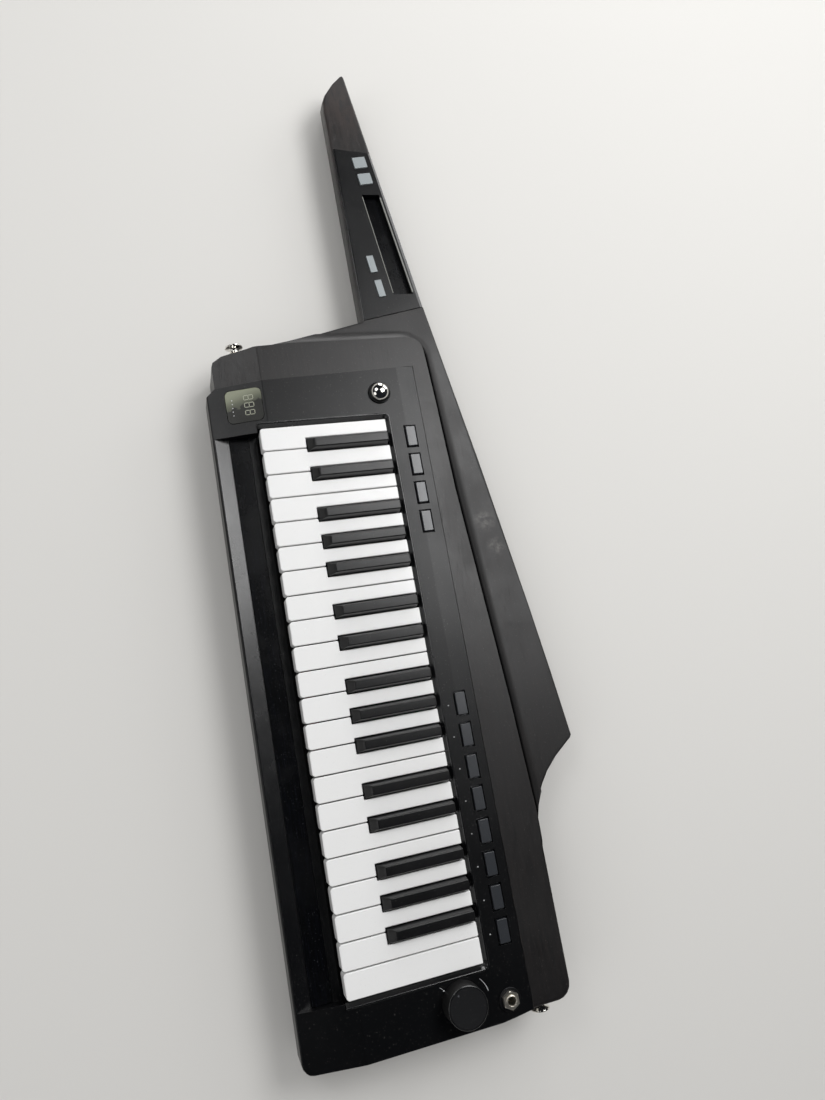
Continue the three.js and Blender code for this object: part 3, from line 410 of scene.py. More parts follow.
def painted_wood():
    finish = Finish("Painted wood", WOOD_BLACK, 0.5)
    figure = finish.noise((5, 60, 60), 6.0, 6.0, 0.6)
    pores = finish.ramp(finish.noise((22, 420, 420), 5.0, 3.0, 0.6), 0.56, 0.72)
    finish.shade(finish.ramp(figure, 0.35, 0.7), WOOD_FIGURE, 0.7)
    finish.shade(pores, WOOD_PORES, 0.55)
    handling = finish.group(HANDLING, Smear_scale=9.0)
    finish.roughen(figure, 0.40, 0.50)
    finish.roughen(handling["Smear"], -0.05, 0.07)
    finish.shade(handling["Dust"], WOOD_DUST, 0.10)
    worn = finish.group(WEAR, Radius=0.0012, Breakup_scale=70.0)
    finish.shade(worn["Worn"], WOOD_WORN, 0.5)
    finish.bump(figure, 0.00006)
    finish.bump(pores, -0.00003)
    return finish


# %% Scuffs and bare patches
# Each has a place on the keyboard and a reach, in millimetres.
SCUFFS = [(94, 186, 36, 13), (118, 192, 36, 11), (68, 159.5, 50, 5)]
BARE_PATCHES = [(-318, 128, 36, 55), (-270, 112, 20, 30)]
SCUFF_COLOUR = (0.15, 0.142, 0.133)
PATCH_COLOUR = (0.034, 0.021, 0.017)


def add_spots(finish, spots, breakup, colour, amount):
    """Bares round spots that noise breaks up and that fade out from their middle."""
    for along, across, up, reach in spots:
        ends = {0: finish.place(), 1: at(along, across, up)}
        distance = finish.add("ShaderNodeVectorMath", ends, operation="DISTANCE")["Value"]
        near = finish.ramp(distance, reach * MM, 0)
        finish.shade(finish.combine("MULTIPLY", near, breakup), colour, amount)


def scuff(finish):
    scratches = finish.ramp(finish.noise((0.8, 0.6, 1), 240.0, 5.0, 0.65), 0.36, 0.72)
    patches = finish.ramp(finish.noise((0.6, 1.5, 1), 130.0, 4.0, 0.7), 0.3, 0.6)
    add_spots(finish, SCUFFS, scratches, SCUFF_COLOUR, 0.75)
    add_spots(finish, BARE_PATCHES, patches, PATCH_COLOUR, 0.7)


# %% Shadow in the cove
# The cove's wall stands between two heights, behind a line across the keys and short of one along them.
COVE_FOOT = 0.0361
COVE_HEAD = 0.0392
COVE_FRONT = at(0, 148, 0).y
COVE_END = at(388, 0, 0).x
COVE_SHADOW = (0.0012, 0.0012, 0.0014)
WOOD_MIRROR = 0.5
LACQUER = 0.14
LACQUER_ROUGHNESS = 0.34


def shade_cove(finish):
    axes = finish.add("ShaderNodeSeparateXYZ", {0: finish.place()})
    steep = finish.ramp(axes["Z"], COVE_FOOT, COVE_HEAD)
    below_deck = finish.ramp(axes["Z"], DECK * MM, DECK * MM - 0.0008)
    behind = finish.ramp(axes["Y"], COVE_FRONT, COVE_FRONT + 0.002)
    beside = finish.ramp(axes["X"], COVE_END, COVE_END - 0.012)
    on_wall = finish.combine("MULTIPLY", steep, below_deck)
    in_cove = finish.combine("MULTIPLY", on_wall, finish.combine("MULTIPLY", behind, beside))
    finish.shade(in_cove, COVE_SHADOW, 0.92)
    finish.roughen(in_cove, 0.0, 0.3)
    open_wood = finish.combine("SUBTRACT", 1.0, in_cove)
    finish.set(
        Specular_IOR_Level=finish.combine("MULTIPLY", open_wood, WOOD_MIRROR),
        Coat_Weight=finish.combine("MULTIPLY", open_wood, LACQUER),
        Coat_Roughness=LACQUER_ROUGHNESS,
    )


wood_finish = painted_wood()
scuff(wood_finish)
shade_cove(wood_finish)
WOOD = wood_finish.material
print("painted wood of", len(wood_finish.tree.nodes), "nodes")

# %% [markdown]
# ## Plastics and films
# The case is satin plastic with worn edges, the back has a coarse texture like leather, the buttons have
# a soft coat, and the ribbons are printed film, drawn into fine lines lengthways. One moulded start serves
# all the plastics, so each only says where it differs: in its gloss, its grain or one more layer.

# %% Plastics
SATIN_BLACK = (0.0012, 0.0014, 0.0019)
SATIN_WORN = (0.035, 0.037, 0.040)


def satin_plastic(name, roughness, mirror):
    finish = moulded(name, SATIN_BLACK, roughness, 2600.0, 0.000012, 0.05, 0.05)
    worn = finish.group(WEAR, Radius=0.0006, Breakup_scale=160.0)
    finish.shade(worn["Worn"], SATIN_WORN, 0.45)
    finish.set(Specular_IOR_Level=mirror)
    return finish.material


def textured_plastic():
    finish = moulded("Textured black plastic", (0.011, 0.011, 0.012), 0.58, 1400.0, 0.00006)
    cells = finish.add("ShaderNodeTexVoronoi", {"Vector": finish.place(), "Scale": 900.0})
    finish.bump(cells["Distance"], 0.00004)
    return finish.material


def key_plastic(name, colour, roughness, smear_colour, smear_amount):
    finish = moulded(name, colour, roughness, 700.0, 0.000008, 0.05, 0.03)
    handling = finish.group(HANDLING, Smear_scale=30.0, Dust_scale=1300.0)
    finish.shade(handling["Smear"], smear_colour, smear_amount)
    return finish


def white_key_plastic():
    finish = key_plastic("White key plastic", (0.79, 0.79, 0.785), 0.24, (0.74, 0.735, 0.72), 0.12)
    finish.set(Subsurface_Weight=0.05, Subsurface_Radius=(0.002, 0.002, 0.002))
    return finish.material


def black_key_plastic():
    finish = key_plastic("Black key plastic", (0.0030, 0.0030, 0.0034), 0.30, (0.008, 0.008, 0.009), 0.5)
    finish.roughen(finish.noise((30, 900, 900), 2.0, 2.0), -0.03, 0.05)
    return finish.material


def button_plastic(name, colour, roughness):
    finish = moulded(name, colour, roughness, 1900.0, 0.00002)
    finish.set(Coat_Weight=0.8, Coat_Roughness=0.28)
    return finish.material


# %% Films
FILM_DUST = (0.30, 0.31, 0.33)


def glossy_film(name, colour, roughness, streak, mirror):
    """Printed film: fine lines drawn lengthways, in the gloss and faintly in the colour."""
    finish = Finish(name, colour, roughness)
    finish.set(Specular_IOR_Level=mirror)
    drawn = finish.noise((14, 700, 700), 3.0, 3.0)
    finish.shade(finish.ramp(drawn, 0.5, 0.8), streak, 0.8)
    handling = finish.group(HANDLING, Smear_scale=22.0)
    finish.roughen(drawn, roughness - 0.02, roughness + 0.03)
    finish.roughen(handling["Smear"], 0.0, 0.10)
    finish.shade(handling["Dust"], FILM_DUST, 0.08)
    finish.bump(drawn, 0.000003)
    return finish


# %% Display pane with a painted reflection
# A reflection is painted into the pane: olive towards the neck, with a ragged slanting border, dark beyond
# it.
PANE_EDGE = -20.0
PANE_SLANT = 0.26
PANE_DEPTH = 19.0
PANE_RAGGED = 10.0
PANE_REFLECTION_OLIVE = (0.060, 0.064, 0.044)
PANE_REFLECTION_LIGHT = (0.25, 0.265, 0.19)


def display_glass():
    finish = glossy_film("Smoked window", (0.0075, 0.0078, 0.0055), 0.09, (0.012, 0.012, 0.009), 0.15)
    axes = finish.add("ShaderNodeSeparateXYZ", {0: finish.place()})
    corner = at(PANE_EDGE, 0, 0)
    across = finish.combine("MULTIPLY", finish.combine("SUBTRACT", axes["Y"], corner.y), PANE_SLANT)
    depth = finish.combine("SUBTRACT", corner.x, finish.combine("ADD", axes["X"], across))
    ragged = finish.combine("MULTIPLY", finish.noise((1, 1, 1), 210.0, 2.0), PANE_RAGGED * MM)
    border = finish.combine("ADD", depth, ragged)
    # Painted reflection: the olive, and the brighter olive nearer the neck, stand in for light mirrored in
    # the pane.
    finish.shade(finish.ramp(border, 10 * MM, 11.5 * MM), PANE_REFLECTION_OLIVE)
    finish.shade(finish.ramp(depth, 5 * MM, PANE_DEPTH * MM), PANE_REFLECTION_LIGHT, 0.8)
    return finish.material


# %% [markdown]
# ## Metal, felt and boards
# Turned metal keeps faint rings from the lathe and dull smears from fingers. Felt is a rough fuzz with a
# sheen. A circuit board is lacquer over a pattern of tracks, and bricks with thin joints will do for it.

# %% Metal, felt and boards
def polished_metal(name, colour, roughness):
    finish = Finish(name, colour, roughness, 1.0)
    turned = finish.noise((60, 60, 2400), 1.5, 2.0)
    finish.roughen(turned, roughness, roughness + 0.10)
    handling = finish.group(HANDLING, Smear_scale=160.0)
    finish.shade(handling["Smear"], tuple(0.72 * part for part in colour), 0.35)
    finish.bump(turned, 0.000004)
    return finish.material


def felt():
    finish = Finish("Red felt", (0.19, 0.014, 0.016), 0.95)
    fuzz = finish.noise((1, 1, 1), 2200.0, 4.0, 0.7)
    finish.shade(finish.ramp(fuzz, 0.45, 0.65), (0.30, 0.04, 0.04), 0.6)
    finish.roughen(fuzz, 0.9, 1.0)
    finish.bump(fuzz, 0.0003)
    finish.set(Sheen_Weight=0.5)
    return finish.material


def circuit_board():
    finish = Finish("Circuit board", (0.012, 0.075, 0.030), 0.38)
    bricks = {"Vector": finish.place(), "Scale": 130.0, "Mortar Size": 0.03}
    tracks = finish.add("ShaderNodeTexBrick", bricks)
    finish.shade(tracks["Fac"], (0.035, 0.16, 0.06), 0.8)
    finish.bump(tracks["Fac"], 0.00003)
    finish.roughen(finish.group(HANDLING)["Smear"], 0.34, 0.46)
    return finish.material


# %% Make the materials
def plain_plastic(name, colour, roughness, grain_depth=0.00003, grain_scale=1500.0):
    return moulded(name, colour, roughness, grain_scale, grain_depth).material


SATIN = satin_plastic("Satin black plastic", 0.34, 0.39)
LIP = satin_plastic("Polished lip", 0.24, 0.85)
KNOB_RIM = satin_plastic("Knob rim", 0.24, 1.0)
TEXTURED = textured_plastic()
WHITE_KEY = white_key_plastic()
BLACK_KEY = black_key_plastic()
SMOKED_BUTTON = button_plastic("Smoked button", (0.021, 0.024, 0.029), 0.36)
FROSTED_BUTTON = button_plastic("Frosted button", (0.27, 0.30, 0.31), 0.45)
RIBBON = glossy_film("Ribbon film", (0.0012, 0.0014, 0.0018), 0.24, (0.005, 0.006, 0.012), 0.22).material
WINDOW = display_glass()
KNOB = plain_plastic("Knob rubber", (0.0016, 0.0018, 0.0030), 0.56)
KNOB_SHADED_SIDE = plain_plastic("Knob in painted shade", (0.0008, 0.0008, 0.0010), 0.55)
POINTER = plain_plastic("Knob pointer", (0.060, 0.062, 0.070), 0.4, 0.00001)
FRAME_PLASTIC = plain_plastic("Frame plastic", (0.045, 0.045, 0.047), 0.6, 0.00004, 1200.0)
MARK = plain_plastic("Printed mark", (0.42, 0.43, 0.44), 0.55, 0.00001)
LAMP_DOT = plain_plastic("Lamp lens", (0.62, 0.63, 0.64), 0.3, 0.00001)
DIGIT = plain_plastic("Display segment", (0.34, 0.35, 0.27), 0.35, 0.00001)
RECESS_HIGHLIGHT_PAINT = plain_plastic("Painted highlight strip", (0.24, 0.245, 0.225), 0.35, 0.00001)
CHROME = polished_metal("Chrome", (0.82, 0.80, 0.75), 0.06)
NICKEL = polished_metal("Nickel", (0.80, 0.76, 0.67), 0.32)
BLACK_STEEL = polished_metal("Blackened steel", (0.055, 0.055, 0.058), 0.34)
SCREW = polished_metal("Black screw", (0.14, 0.14, 0.145), 0.28)
BRASS = polished_metal("Contact brass", (0.72, 0.52, 0.24), 0.2)
FELT = felt()
BOARD = circuit_board()
print(len(bpy.data.materials), "materials")

# %% [markdown]
# ## Making a piece
# Every piece is built in its place and its object stays at the origin, as the model's own pieces do.
# Large flat faces with rounded edges shade best with weighted normals: the flat part stays flat and only
# the narrow rounding turns. So each finished piece goes through the same few steps here.

# %% Piece helpers
SMOOTH_ANGLE = math.radians(38)
MERGE_DISTANCE = 0.00001


def applied(obj):
    """The object's mesh with its modifiers worked in, and the modifiers gone."""
    bpy.context.view_layer.update()
    evaluated = obj.evaluated_get(bpy.context.evaluated_depsgraph_get())
    mesh = bpy.data.meshes.new_from_object(evaluated)
    obj.modifiers.clear()
    obj.data = mesh
    return mesh


def piece(name, shell, material, body, stands_for=(), note=""):
    """Makes a shell a finished piece that rides on a body and may stand for nodes of the model."""
    mesh = bpy.data.meshes.new(name)
    shell.to_mesh(mesh)
    shell.free()
    obj = bpy.data.objects.new(name, mesh)
    bpy.context.collection.objects.link(obj)
    mesh.shade_smooth()
    mesh.set_sharp_from_angle(angle=SMOOTH_ANGLE)
    weighted = obj.modifiers.new("Weighted normals", "WEIGHTED_NORMAL")
    weighted.keep_sharp = True
    applied(obj)
    obj.data.materials.clear()
    obj.data.materials.append(material)
    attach(obj, body)
    if stands_for:
        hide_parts(*stands_for)
    print(f"{name}: {len(obj.data.polygons)} faces{note}")
    return obj


# %% Rounded copies of the model
# An edge is rounded where its two faces turn by more than an angle and a test picks it. The test is given
# the edge's middle as a place on the keyboard, and the directions of its two faces.
SHARP_ANGLE = math.radians(30)
FLAT_ANGLE = math.radians(0.5)


def model_shell(node):
    """A merged copy of a model node's mesh, with its flat faces made whole."""
    shell = bmesh.new()
    shell.from_mesh(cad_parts[node].data)
    bmesh.ops.remove_doubles(shell, verts=shell.verts, dist=MERGE_DISTANCE)
    bmesh.ops.dissolve_limit(shell, angle_limit=FLAT_ANGLE, verts=shell.verts, edges=shell.edges)
    return shell


def always(place, normals):
    return True


def round_edges(shell, width, segments, chosen=always, sharp=SHARP_ANGLE):
    """Rounds the chosen edges, as wide as asked in millimetres, and gives their number."""
    edges = []
    for edge in shell.edges:
        if not edge.is_manifold or edge.calc_face_angle() < sharp:
            continue
        middle = (edge.verts[0].co + edge.verts[1].co) / 2
        if chosen((middle - CORNER) / MM, [face.normal for face in edge.link_faces]):
            edges.append(edge)
    bmesh.ops.bevel(
        shell, geom=edges, offset=width * MM, offset_type="OFFSET", segments=segments,
        profile=0.5, affect="EDGES", clamp_overlap=True,
    )
    return len(edges)


def finished_copy(name, node, material, body, width, segments):
    shell = model_shell(node)
    count = round_edges(shell, width, segments)
    return piece(name, shell, material, body, [node], f", {count} edges rounded")


# %% [markdown]
# ## Trims that follow a path, and small parts that repeat
# A lip round an opening has one section all the way, and screws or dots are one shape set down many
# times. Such pieces are quickest to grow with geometry nodes: one tree sweeps a section along a path with
# round corners, the other puts a shape on every point. The result is turned into a plain mesh at once.

# %% Parts of a growing tree
GROWN_SOCKETS = {
    "geometry": "NodeSocketGeometry", "object": "NodeSocketObject", "float": "NodeSocketFloat",
    "integer": "NodeSocketInt", "material": "NodeSocketMaterial",
}


def new_tree(name, inputs):
    tree = bpy.data.node_groups.new(name, "GeometryNodeTree")
    for socket_name, kind in inputs:
        tree.interface.new_socket(socket_name, in_out="INPUT", socket_type=GROWN_SOCKETS[kind])
    tree.interface.new_socket("Grown", in_out="OUTPUT", socket_type=GROWN_SOCKETS["geometry"])
    return tree, tree.nodes.new("NodeGroupInput").outputs, tree.nodes.new("NodeGroupOutput")


def finish_tree(tree, given, end, grown):
    real = add_node(tree, "GeometryNodeRealizeInstances", {0: grown}).outputs[0]
    painting = {"Geometry": real, "Material": given["Material"]}
    painted = add_node(tree, "GeometryNodeSetMaterial", painting).outputs[0]
    feed(tree, end, {"Grown": painted})


def shape_of(tree, shape):
    return add_node(tree, "GeometryNodeObjectInfo", {"Object": shape}).outputs["Geometry"]


def as_curve(tree, lines):
    return add_node(tree, "GeometryNodeMeshToCurve", {"Mesh": lines}).outputs["Curve"]


# %% Sweep a section along a path
CORNER_STEPS = 8
SWEEP, given, end = new_tree(
    "Sweep along a path",
    [("Path", "geometry"), ("Section", "object"), ("Corner", "float"), ("Material", "material")],
)
turning = {"Curve": as_curve(SWEEP, given["Path"]), "Radius": given["Corner"], "Count": CORNER_STEPS}
path = add_node(SWEEP, "GeometryNodeFilletCurve", turning, mode="POLY").outputs[0]
section = as_curve(SWEEP, shape_of(SWEEP, given["Section"]))
sweeping = {"Curve": path, "Profile Curve": section, "Fill Caps": True}
finish_tree(SWEEP, given, end, add_node(SWEEP, "GeometryNodeCurveToMesh", sweeping).outputs[0])
print("tree:", SWEEP.name)

# %% Repeat a shape on points
# Each copy is turned about its upright axis by its own random angle, up to the spread.
REPEAT, given, end = new_tree(
    "Repeat on points",
    [("Places", "geometry"), ("Shape", "object"), ("Spread", "float"), ("Seed", "integer"),
     ("Material", "material")],
)
copying = {"Points": given["Places"], "Instance": shape_of(REPEAT, given["Shape"])}
copies = add_node(REPEAT, "GeometryNodeInstanceOnPoints", copying).outputs[0]
chance = {2: 0.0, 3: given["Spread"], "Seed": given["Seed"]}
angle = add_node(REPEAT, "FunctionNodeRandomValue", chance, data_type="FLOAT").outputs[1]
upright = add_node(REPEAT, "ShaderNodeCombineXYZ", {"Z": angle}).outputs[0]
turning = {"Instances": copies, "Rotation": upright}
finish_tree(REPEAT, given, end, add_node(REPEAT, "GeometryNodeRotateInstances", turning).outputs[0])
print("tree:", REPEAT.name)


# %% Grow a piece
SPREAD_SEED = 3


def neighbours(count):
    """Pairs of numbers that follow each other round a ring."""
    return [(step, (step + 1) % count) for step in range(count)]


def helper_object(name, points, edges=()):
    mesh = bpy.data.meshes.new(name)
    mesh.from_pydata([tuple(point) for point in points], list(edges), [])
    obj = bpy.data.objects.new(name, mesh)
    bpy.context.collection.objects.link(obj)
    return obj


def grown(tree, seed, helper, values):
    """Runs a tree on the seed object, removes both helpers and gives the shape back."""
    modifier = seed.modifiers.new("Grow", "NODES")
    modifier.node_group = tree
    for item in tree.interface.items_tree:
        if item.in_out == "INPUT" and item.name in values:
            modifier[item.identifier] = values[item.name]
    mesh = applied(seed)
    shell = bmesh.new()
    shell.from_mesh(mesh)
    bmesh.ops.remove_doubles(shell, verts=shell.verts, dist=MERGE_DISTANCE / 10)
    bmesh.ops.recalc_face_normals(shell, faces=shell.faces)
    bpy.data.objects.remove(seed)
    bpy.data.objects.remove(helper)
    return shell


def swept(name, path, section, corner, material):
    """Sweeps a section (to the right of the path, up) in millimetres along places on the keyboard."""
    seed = helper_object(name, [at(*place) for place in path], neighbours(len(path))[:-1])
    ring = [(side * MM, -up * MM, 0) for side, up in section]
    helper = helper_object(name + "_section", ring, neighbours(len(ring)))
    shell = grown(SWEEP, seed, helper, {"Section": helper, "Corner": corner * MM, "Material": material})
    return piece(name, shell, material, "body", note=f" along {len(path)} points")


def repeated(name, places, shape, material, body="body", spread=0.0):
    """Sets a small shape on each place, given in metres."""
    seed = helper_object(name, places)
    helper = helper_object(name + "_shape", [])
    shape.to_mesh(helper.data)
    shape.free()
    values = {"Shape": helper, "Spread": spread, "Seed": SPREAD_SEED, "Material": material}
    shell = grown(REPEAT, seed, helper, values)
    return piece(name, shell, material, body, note=f" in {len(places)} copies")


# %% [markdown]
# ## Small shapes
# Everything turned is spun from a profile of radius and height about an axis. The profile starts and ends
# on the axis or closes on itself, so that no side stays open. Small bars have bevelled edges, which catch
# the light. All of them are built facing up and then moved to their place by a turn.

# %% Rings and walls
def circle(radius, sides):
    angles = [2 * math.pi * step / sides for step in range(sides)]
    return [(radius * math.cos(angle), radius * math.sin(angle)) for angle in angles]


def ring_of(shell, points, height):
    return [shell.verts.new((x * MM, y * MM, height * MM)) for x, y in points]


def wall(shell, first, second):
    """Joins two rings of as many points each with a band of faces."""
    for step, after in neighbours(len(first)):
        shell.faces.new((first[step], first[after], second[after], second[step]))


def closed_up(shell, turn=Matrix.Identity(4)):
    """Points all faces outwards and moves the shape to its place."""
    bmesh.ops.recalc_face_normals(shell, faces=shell.faces)
    shell.transform(turn)
    return shell


# %% Turned shapes and bars
DISC_SIDES = 20


def spin(profile, sides, turn=Matrix.Identity(4)):
    shell = bmesh.new()
    rings = []
    for radius, height in profile:
        points = circle(radius, sides) if radius else [(0, 0)]
        rings.append(ring_of(shell, points, height))
    for low, high in zip(rings, rings[1:]):
        for step, after in neighbours(sides):
            below = [low[step % len(low)], low[after % len(low)]]
            above = [high[after % len(high)], high[step % len(high)]]
            shell.faces.new(list(dict.fromkeys(below + above)))
    return closed_up(shell, turn)


def arc(centre, radius, start, stop, steps):
    """Points of a round corner in a profile, angles in degrees from the outward direction."""
    angles = [math.radians(start + (stop - start) * step / steps) for step in range(steps + 1)]
    return [(centre[0] + radius * math.cos(a), centre[1] + radius * math.sin(a)) for a in angles]


def standing(node):
    """Places a shape on the axis of a round node, measured from the instrument's back."""
    middle = middle_of(node)
    return Matrix.Translation((middle.x, middle.y, 0))


def bar(length, width, height, edge, turn=Matrix.Identity(4)):
    """A long block with rounded edges, lying on the ground along X."""
    shell = bmesh.new()
    bmesh.ops.create_cube(shell, size=1)
    size = Matrix.Diagonal((length * MM, width * MM, height * MM, 1))
    shell.transform(Matrix.Translation((0, 0, height / 2 * MM)) @ size)
    bmesh.ops.bevel(shell, geom=shell.edges[:], offset=edge * MM, segments=2, profile=0.5, affect="EDGES")
    shell.transform(turn)
    return shell


def disc(radius, height, sides=DISC_SIDES):
    """A flat round with a broken edge."""
    return spin([(0, 0), (radius, 0), (radius, height * 0.7), (radius * 0.9, height), (0, height)], sides)


# %% [markdown]
# ## Wooden body
# The body is one slab: neck, wing and a raised deck, with a long cove where the deck's side sweeps down
# into the wing. It could be sculpted, but the model already holds the true outline and the cove. So the
# model's shape is kept, the deck's rim is rounded as a router would leave it, and the paint goes on.

# %% Wood
NECK_TIP = reach_of("wood_body")[0].x
TIP_ROUNDING = 3.5
DECK_CREASE = 3.0
DECK_CREASE_FOOT = 50
CREASE_ANGLE = math.radians(5)
WOOD_ROUNDING = 1.3
UPPER_EDGES = 30
BACK_EDGES = 1


def visible_wood_edge(place, normals):
    return place.z > UPPER_EDGES or place.z < BACK_EDGES


def tip_edge(place, normals):
    return place.x < NECK_TIP + 1 and all(abs(normal.z) < 0.5 for normal in normals)


def deck_crease(place, normals):
    return place.z > DECK_CREASE_FOOT and all(normal.z > 0.9 for normal in normals)


wood = model_shell("wood_body")
tip_edges = round_edges(wood, TIP_ROUNDING, 6, tip_edge)
creases = round_edges(wood, DECK_CREASE, 4, deck_crease, CREASE_ANGLE)
wood_edges = round_edges(wood, WOOD_ROUNDING, 3, visible_wood_edge)
piece("body_wood", wood, WOOD, "body", ["wood_body"])
print("rounded:", tip_edges, "edges at the tip,", creases, "creases and", wood_edges, "others")

# %% [markdown]
# ## Keyboard case
# The case is a thin moulded shell, folded towards the keys in front and towards the wing behind. Its
# edges carry the light, so they are what must be right: wide rounds at the folds and the front brow, a
# small even round at the openings, and a better polish on every round behind the brow.

# %% Case
FRONT_ZONE = -30
FOLD_ANGLE = math.radians(2)
FOLD_WIDTH = 3.0
BROW_WIDTH = 3.0
CASE_ROUNDING = 0.6
UPRIGHT = 0.1
CASE_FLAT = 0.955


def fold(place, normals):
    return all(normal.z > 0.85 for normal in normals)


def front_brow(place, normals):
    """The edge where the case's front turns into its top."""
    front, top = sorted(normals, key=lambda normal: normal.z)
    return place.y < FRONT_ZONE and front.y < -0.7 and top.z > 0.7


def other_case_edge(place, normals):
    return not front_brow(place, normals)


def polish_rounds(obj, flat, front=-math.inf):
    """Gives the polished finish to the faces between upright and flat, from a place backwards."""
    obj.data.materials.append(LIP)
    for face in obj.data.polygons:
        is_round = UPRIGHT < face.normal.z < flat and face.center.y > front
        face.material_index = 1 if is_round else 0


case = model_shell("control_panel")
folds = round_edges(case, FOLD_WIDTH, 4, fold, FOLD_ANGLE)
brows = round_edges(case, BROW_WIDTH, 6, front_brow)
case_edges = round_edges(case, CASE_ROUNDING, 3, other_case_edge)
case_shell = piece("case_shell", case, SATIN, "body", ["control_panel"])
polish_rounds(case_shell, CASE_FLAT, at(0, FRONT_ZONE, 0).y)
print("rounded:", folds, "folds,", brows, "brow edges and", case_edges, "others")

# %% [markdown]
# ## Lip of the key opening
# A moulded bead lines the opening on three sides and slopes down towards the keys, which hides their
# ends. One section swept along the opening keeps it even all the way round. The section is drawn from the
# case inwards: over the bead, down the slope, and back under the case's edge.

# %% Lip
OPENING_NECK, OPENING_TAIL = -4.5, 444.5
OPENING_FRONT, OPENING_REAR = -1.0, 110.5
LIP_CORNER = 3.6
lip_section = [
    (-1.1, -0.5), (-1.1, 0.15), (-0.8, 0.42), (-0.3, 0.52), (0.2, 0.42), (0.6, 0.12), (1.0, -0.5),
    (1.9, -1.6), (2.5, -2.0), (2.9, -2.2), (3.15, -2.6), (3.15, -4.2), (0.3, -4.2), (0.3, -0.5),
]
lip_path = [
    (OPENING_NECK, OPENING_FRONT, CASE_TOP), (OPENING_NECK, OPENING_REAR, CASE_TOP),
    (OPENING_TAIL, OPENING_REAR, CASE_TOP), (OPENING_TAIL, OPENING_FRONT, CASE_TOP),
]
swept("opening_lip", lip_path, lip_section, LIP_CORNER, LIP)

# %% [markdown]
# ## Neck panel
# The neck panel is a moulded cap that wraps over the neck's outer edge in a wide soft round, which shows
# as a light band. Pale strips along both long sides of its recess are painted highlights on its rims. The
# cap is the model's shape with two widths of rounding, and each strip is a small section swept along a
# straight line.

# %% Neck panel
WRAP_WIDTH = 2.0
WRAP_ANGLE = math.radians(20)
NECK_ROUNDING = 0.4
NECK_FLAT = 0.99
NECK_TOP = top_of("neck_panel")


def wrap(place, normals):
    side, top = sorted(normals, key=lambda normal: normal.z)
    return top.z > NECK_FLAT and 0.4 < side.y < 0.65 and side.z > 0.8


neck = model_shell("neck_panel")
wraps = round_edges(neck, WRAP_WIDTH, 5, wrap, WRAP_ANGLE)
neck_edges = round_edges(neck, NECK_ROUNDING, 3)
neck_cap = piece("neck_cap", neck, SATIN, "body", ["neck_panel"])
polish_rounds(neck_cap, NECK_FLAT)
print("rounded:", wraps, "wrapped edges and", neck_edges, "others")

# %% Painted highlight strips along the recess
# These pale strips are painted highlights along the two rims of the recess.
highlight_section = [(-0.6, -0.6), (-0.6, 0.05), (-0.45, 0.2), (0.4, 0.2), (0.6, 0.05), (0.6, -0.6)]
highlight_path = [(-222, 145.7, NECK_TOP), (-126, 159.8, NECK_TOP)]
swept("recess_trim", highlight_path, highlight_section, 1.0, RECESS_HIGHLIGHT_PAINT)
thin_highlight_section = [(-0.3, -0.6), (-0.3, 0.04), (-0.2, 0.12), (0.2, 0.12), (0.3, 0.04), (0.3, -0.6)]
thin_highlight_path = [(-223, 128.7, NECK_TOP), (-125.5, 141.0, NECK_TOP)]
swept("recess_trim_front", thin_highlight_path, thin_highlight_section, 1.0, RECESS_HIGHLIGHT_PAINT)

# %% [markdown]
# ## Socket plate and back cover
# The plate in the tail and the cover on the back are plain plates of textured plastic with sockets or
# holes through them. Their shapes come from the model, and a narrow round breaks their edges.

# %% Socket plate and back cover
finished_copy("socket_plate", "connector_plate", TEXTURED, "body", 0.4, 2)
finished_copy("back_cover", "rear_cover", TEXTURED, "body", 0.5, 2)

# %% [markdown]
# ## Fittings on the back and the tail
# Flat cross-head screws hold the back cover, and smaller ones hold the socket plate. The battery
# door has a row of grip ribs for the thumb. One head and one rib are modelled, and the tree repeats them.
# Fittings sink a hair into their plate, so that no gap shows.

# %% A screw head
# Its cross and its broken edge are shares of its radius and height.
HEAD_SIDES = 24
CROSS_REACH, CROSS_WIDTH, CROSS_FLOOR = 0.62, 0.15, 0.2
SHOULDER_HEIGHT, RIM_REACH = 0.6, 0.93


def screw_head(radius, height, turn):
    """A flat screw head with a cross-shaped recess."""
    reach, half_width = radius * CROSS_REACH, radius * CROSS_WIDTH
    cross = []
    for cosine, sine in ((1, 0), (0, 1), (-1, 0), (0, -1)):
        for x, y in ((half_width, half_width), (half_width, reach), (-half_width, reach)):
            cross.append((x * cosine - y * sine, x * sine + y * cosine))
    shell = bmesh.new()
    foot = ring_of(shell, circle(radius, HEAD_SIDES), 0)
    shoulder = ring_of(shell, circle(radius, HEAD_SIDES), height * SHOULDER_HEIGHT)
    rim = ring_of(shell, circle(radius * RIM_REACH, HEAD_SIDES), height)
    mouth = ring_of(shell, cross, height)
    pit = ring_of(shell, cross, height * CROSS_FLOOR)
    wall(shell, foot, shoulder)
    wall(shell, shoulder, rim)
    wall(shell, mouth, pit)
    shell.faces.new(pit)
    shell.faces.new(foot)
    edges = []
    for loop in (rim, mouth):
        for step, after in neighbours(len(loop)):
            edges.append(shell.edges.get((loop[step], loop[after])))
    bmesh.ops.triangle_fill(shell, use_beauty=True, edges=edges)
    return closed_up(shell, turn)


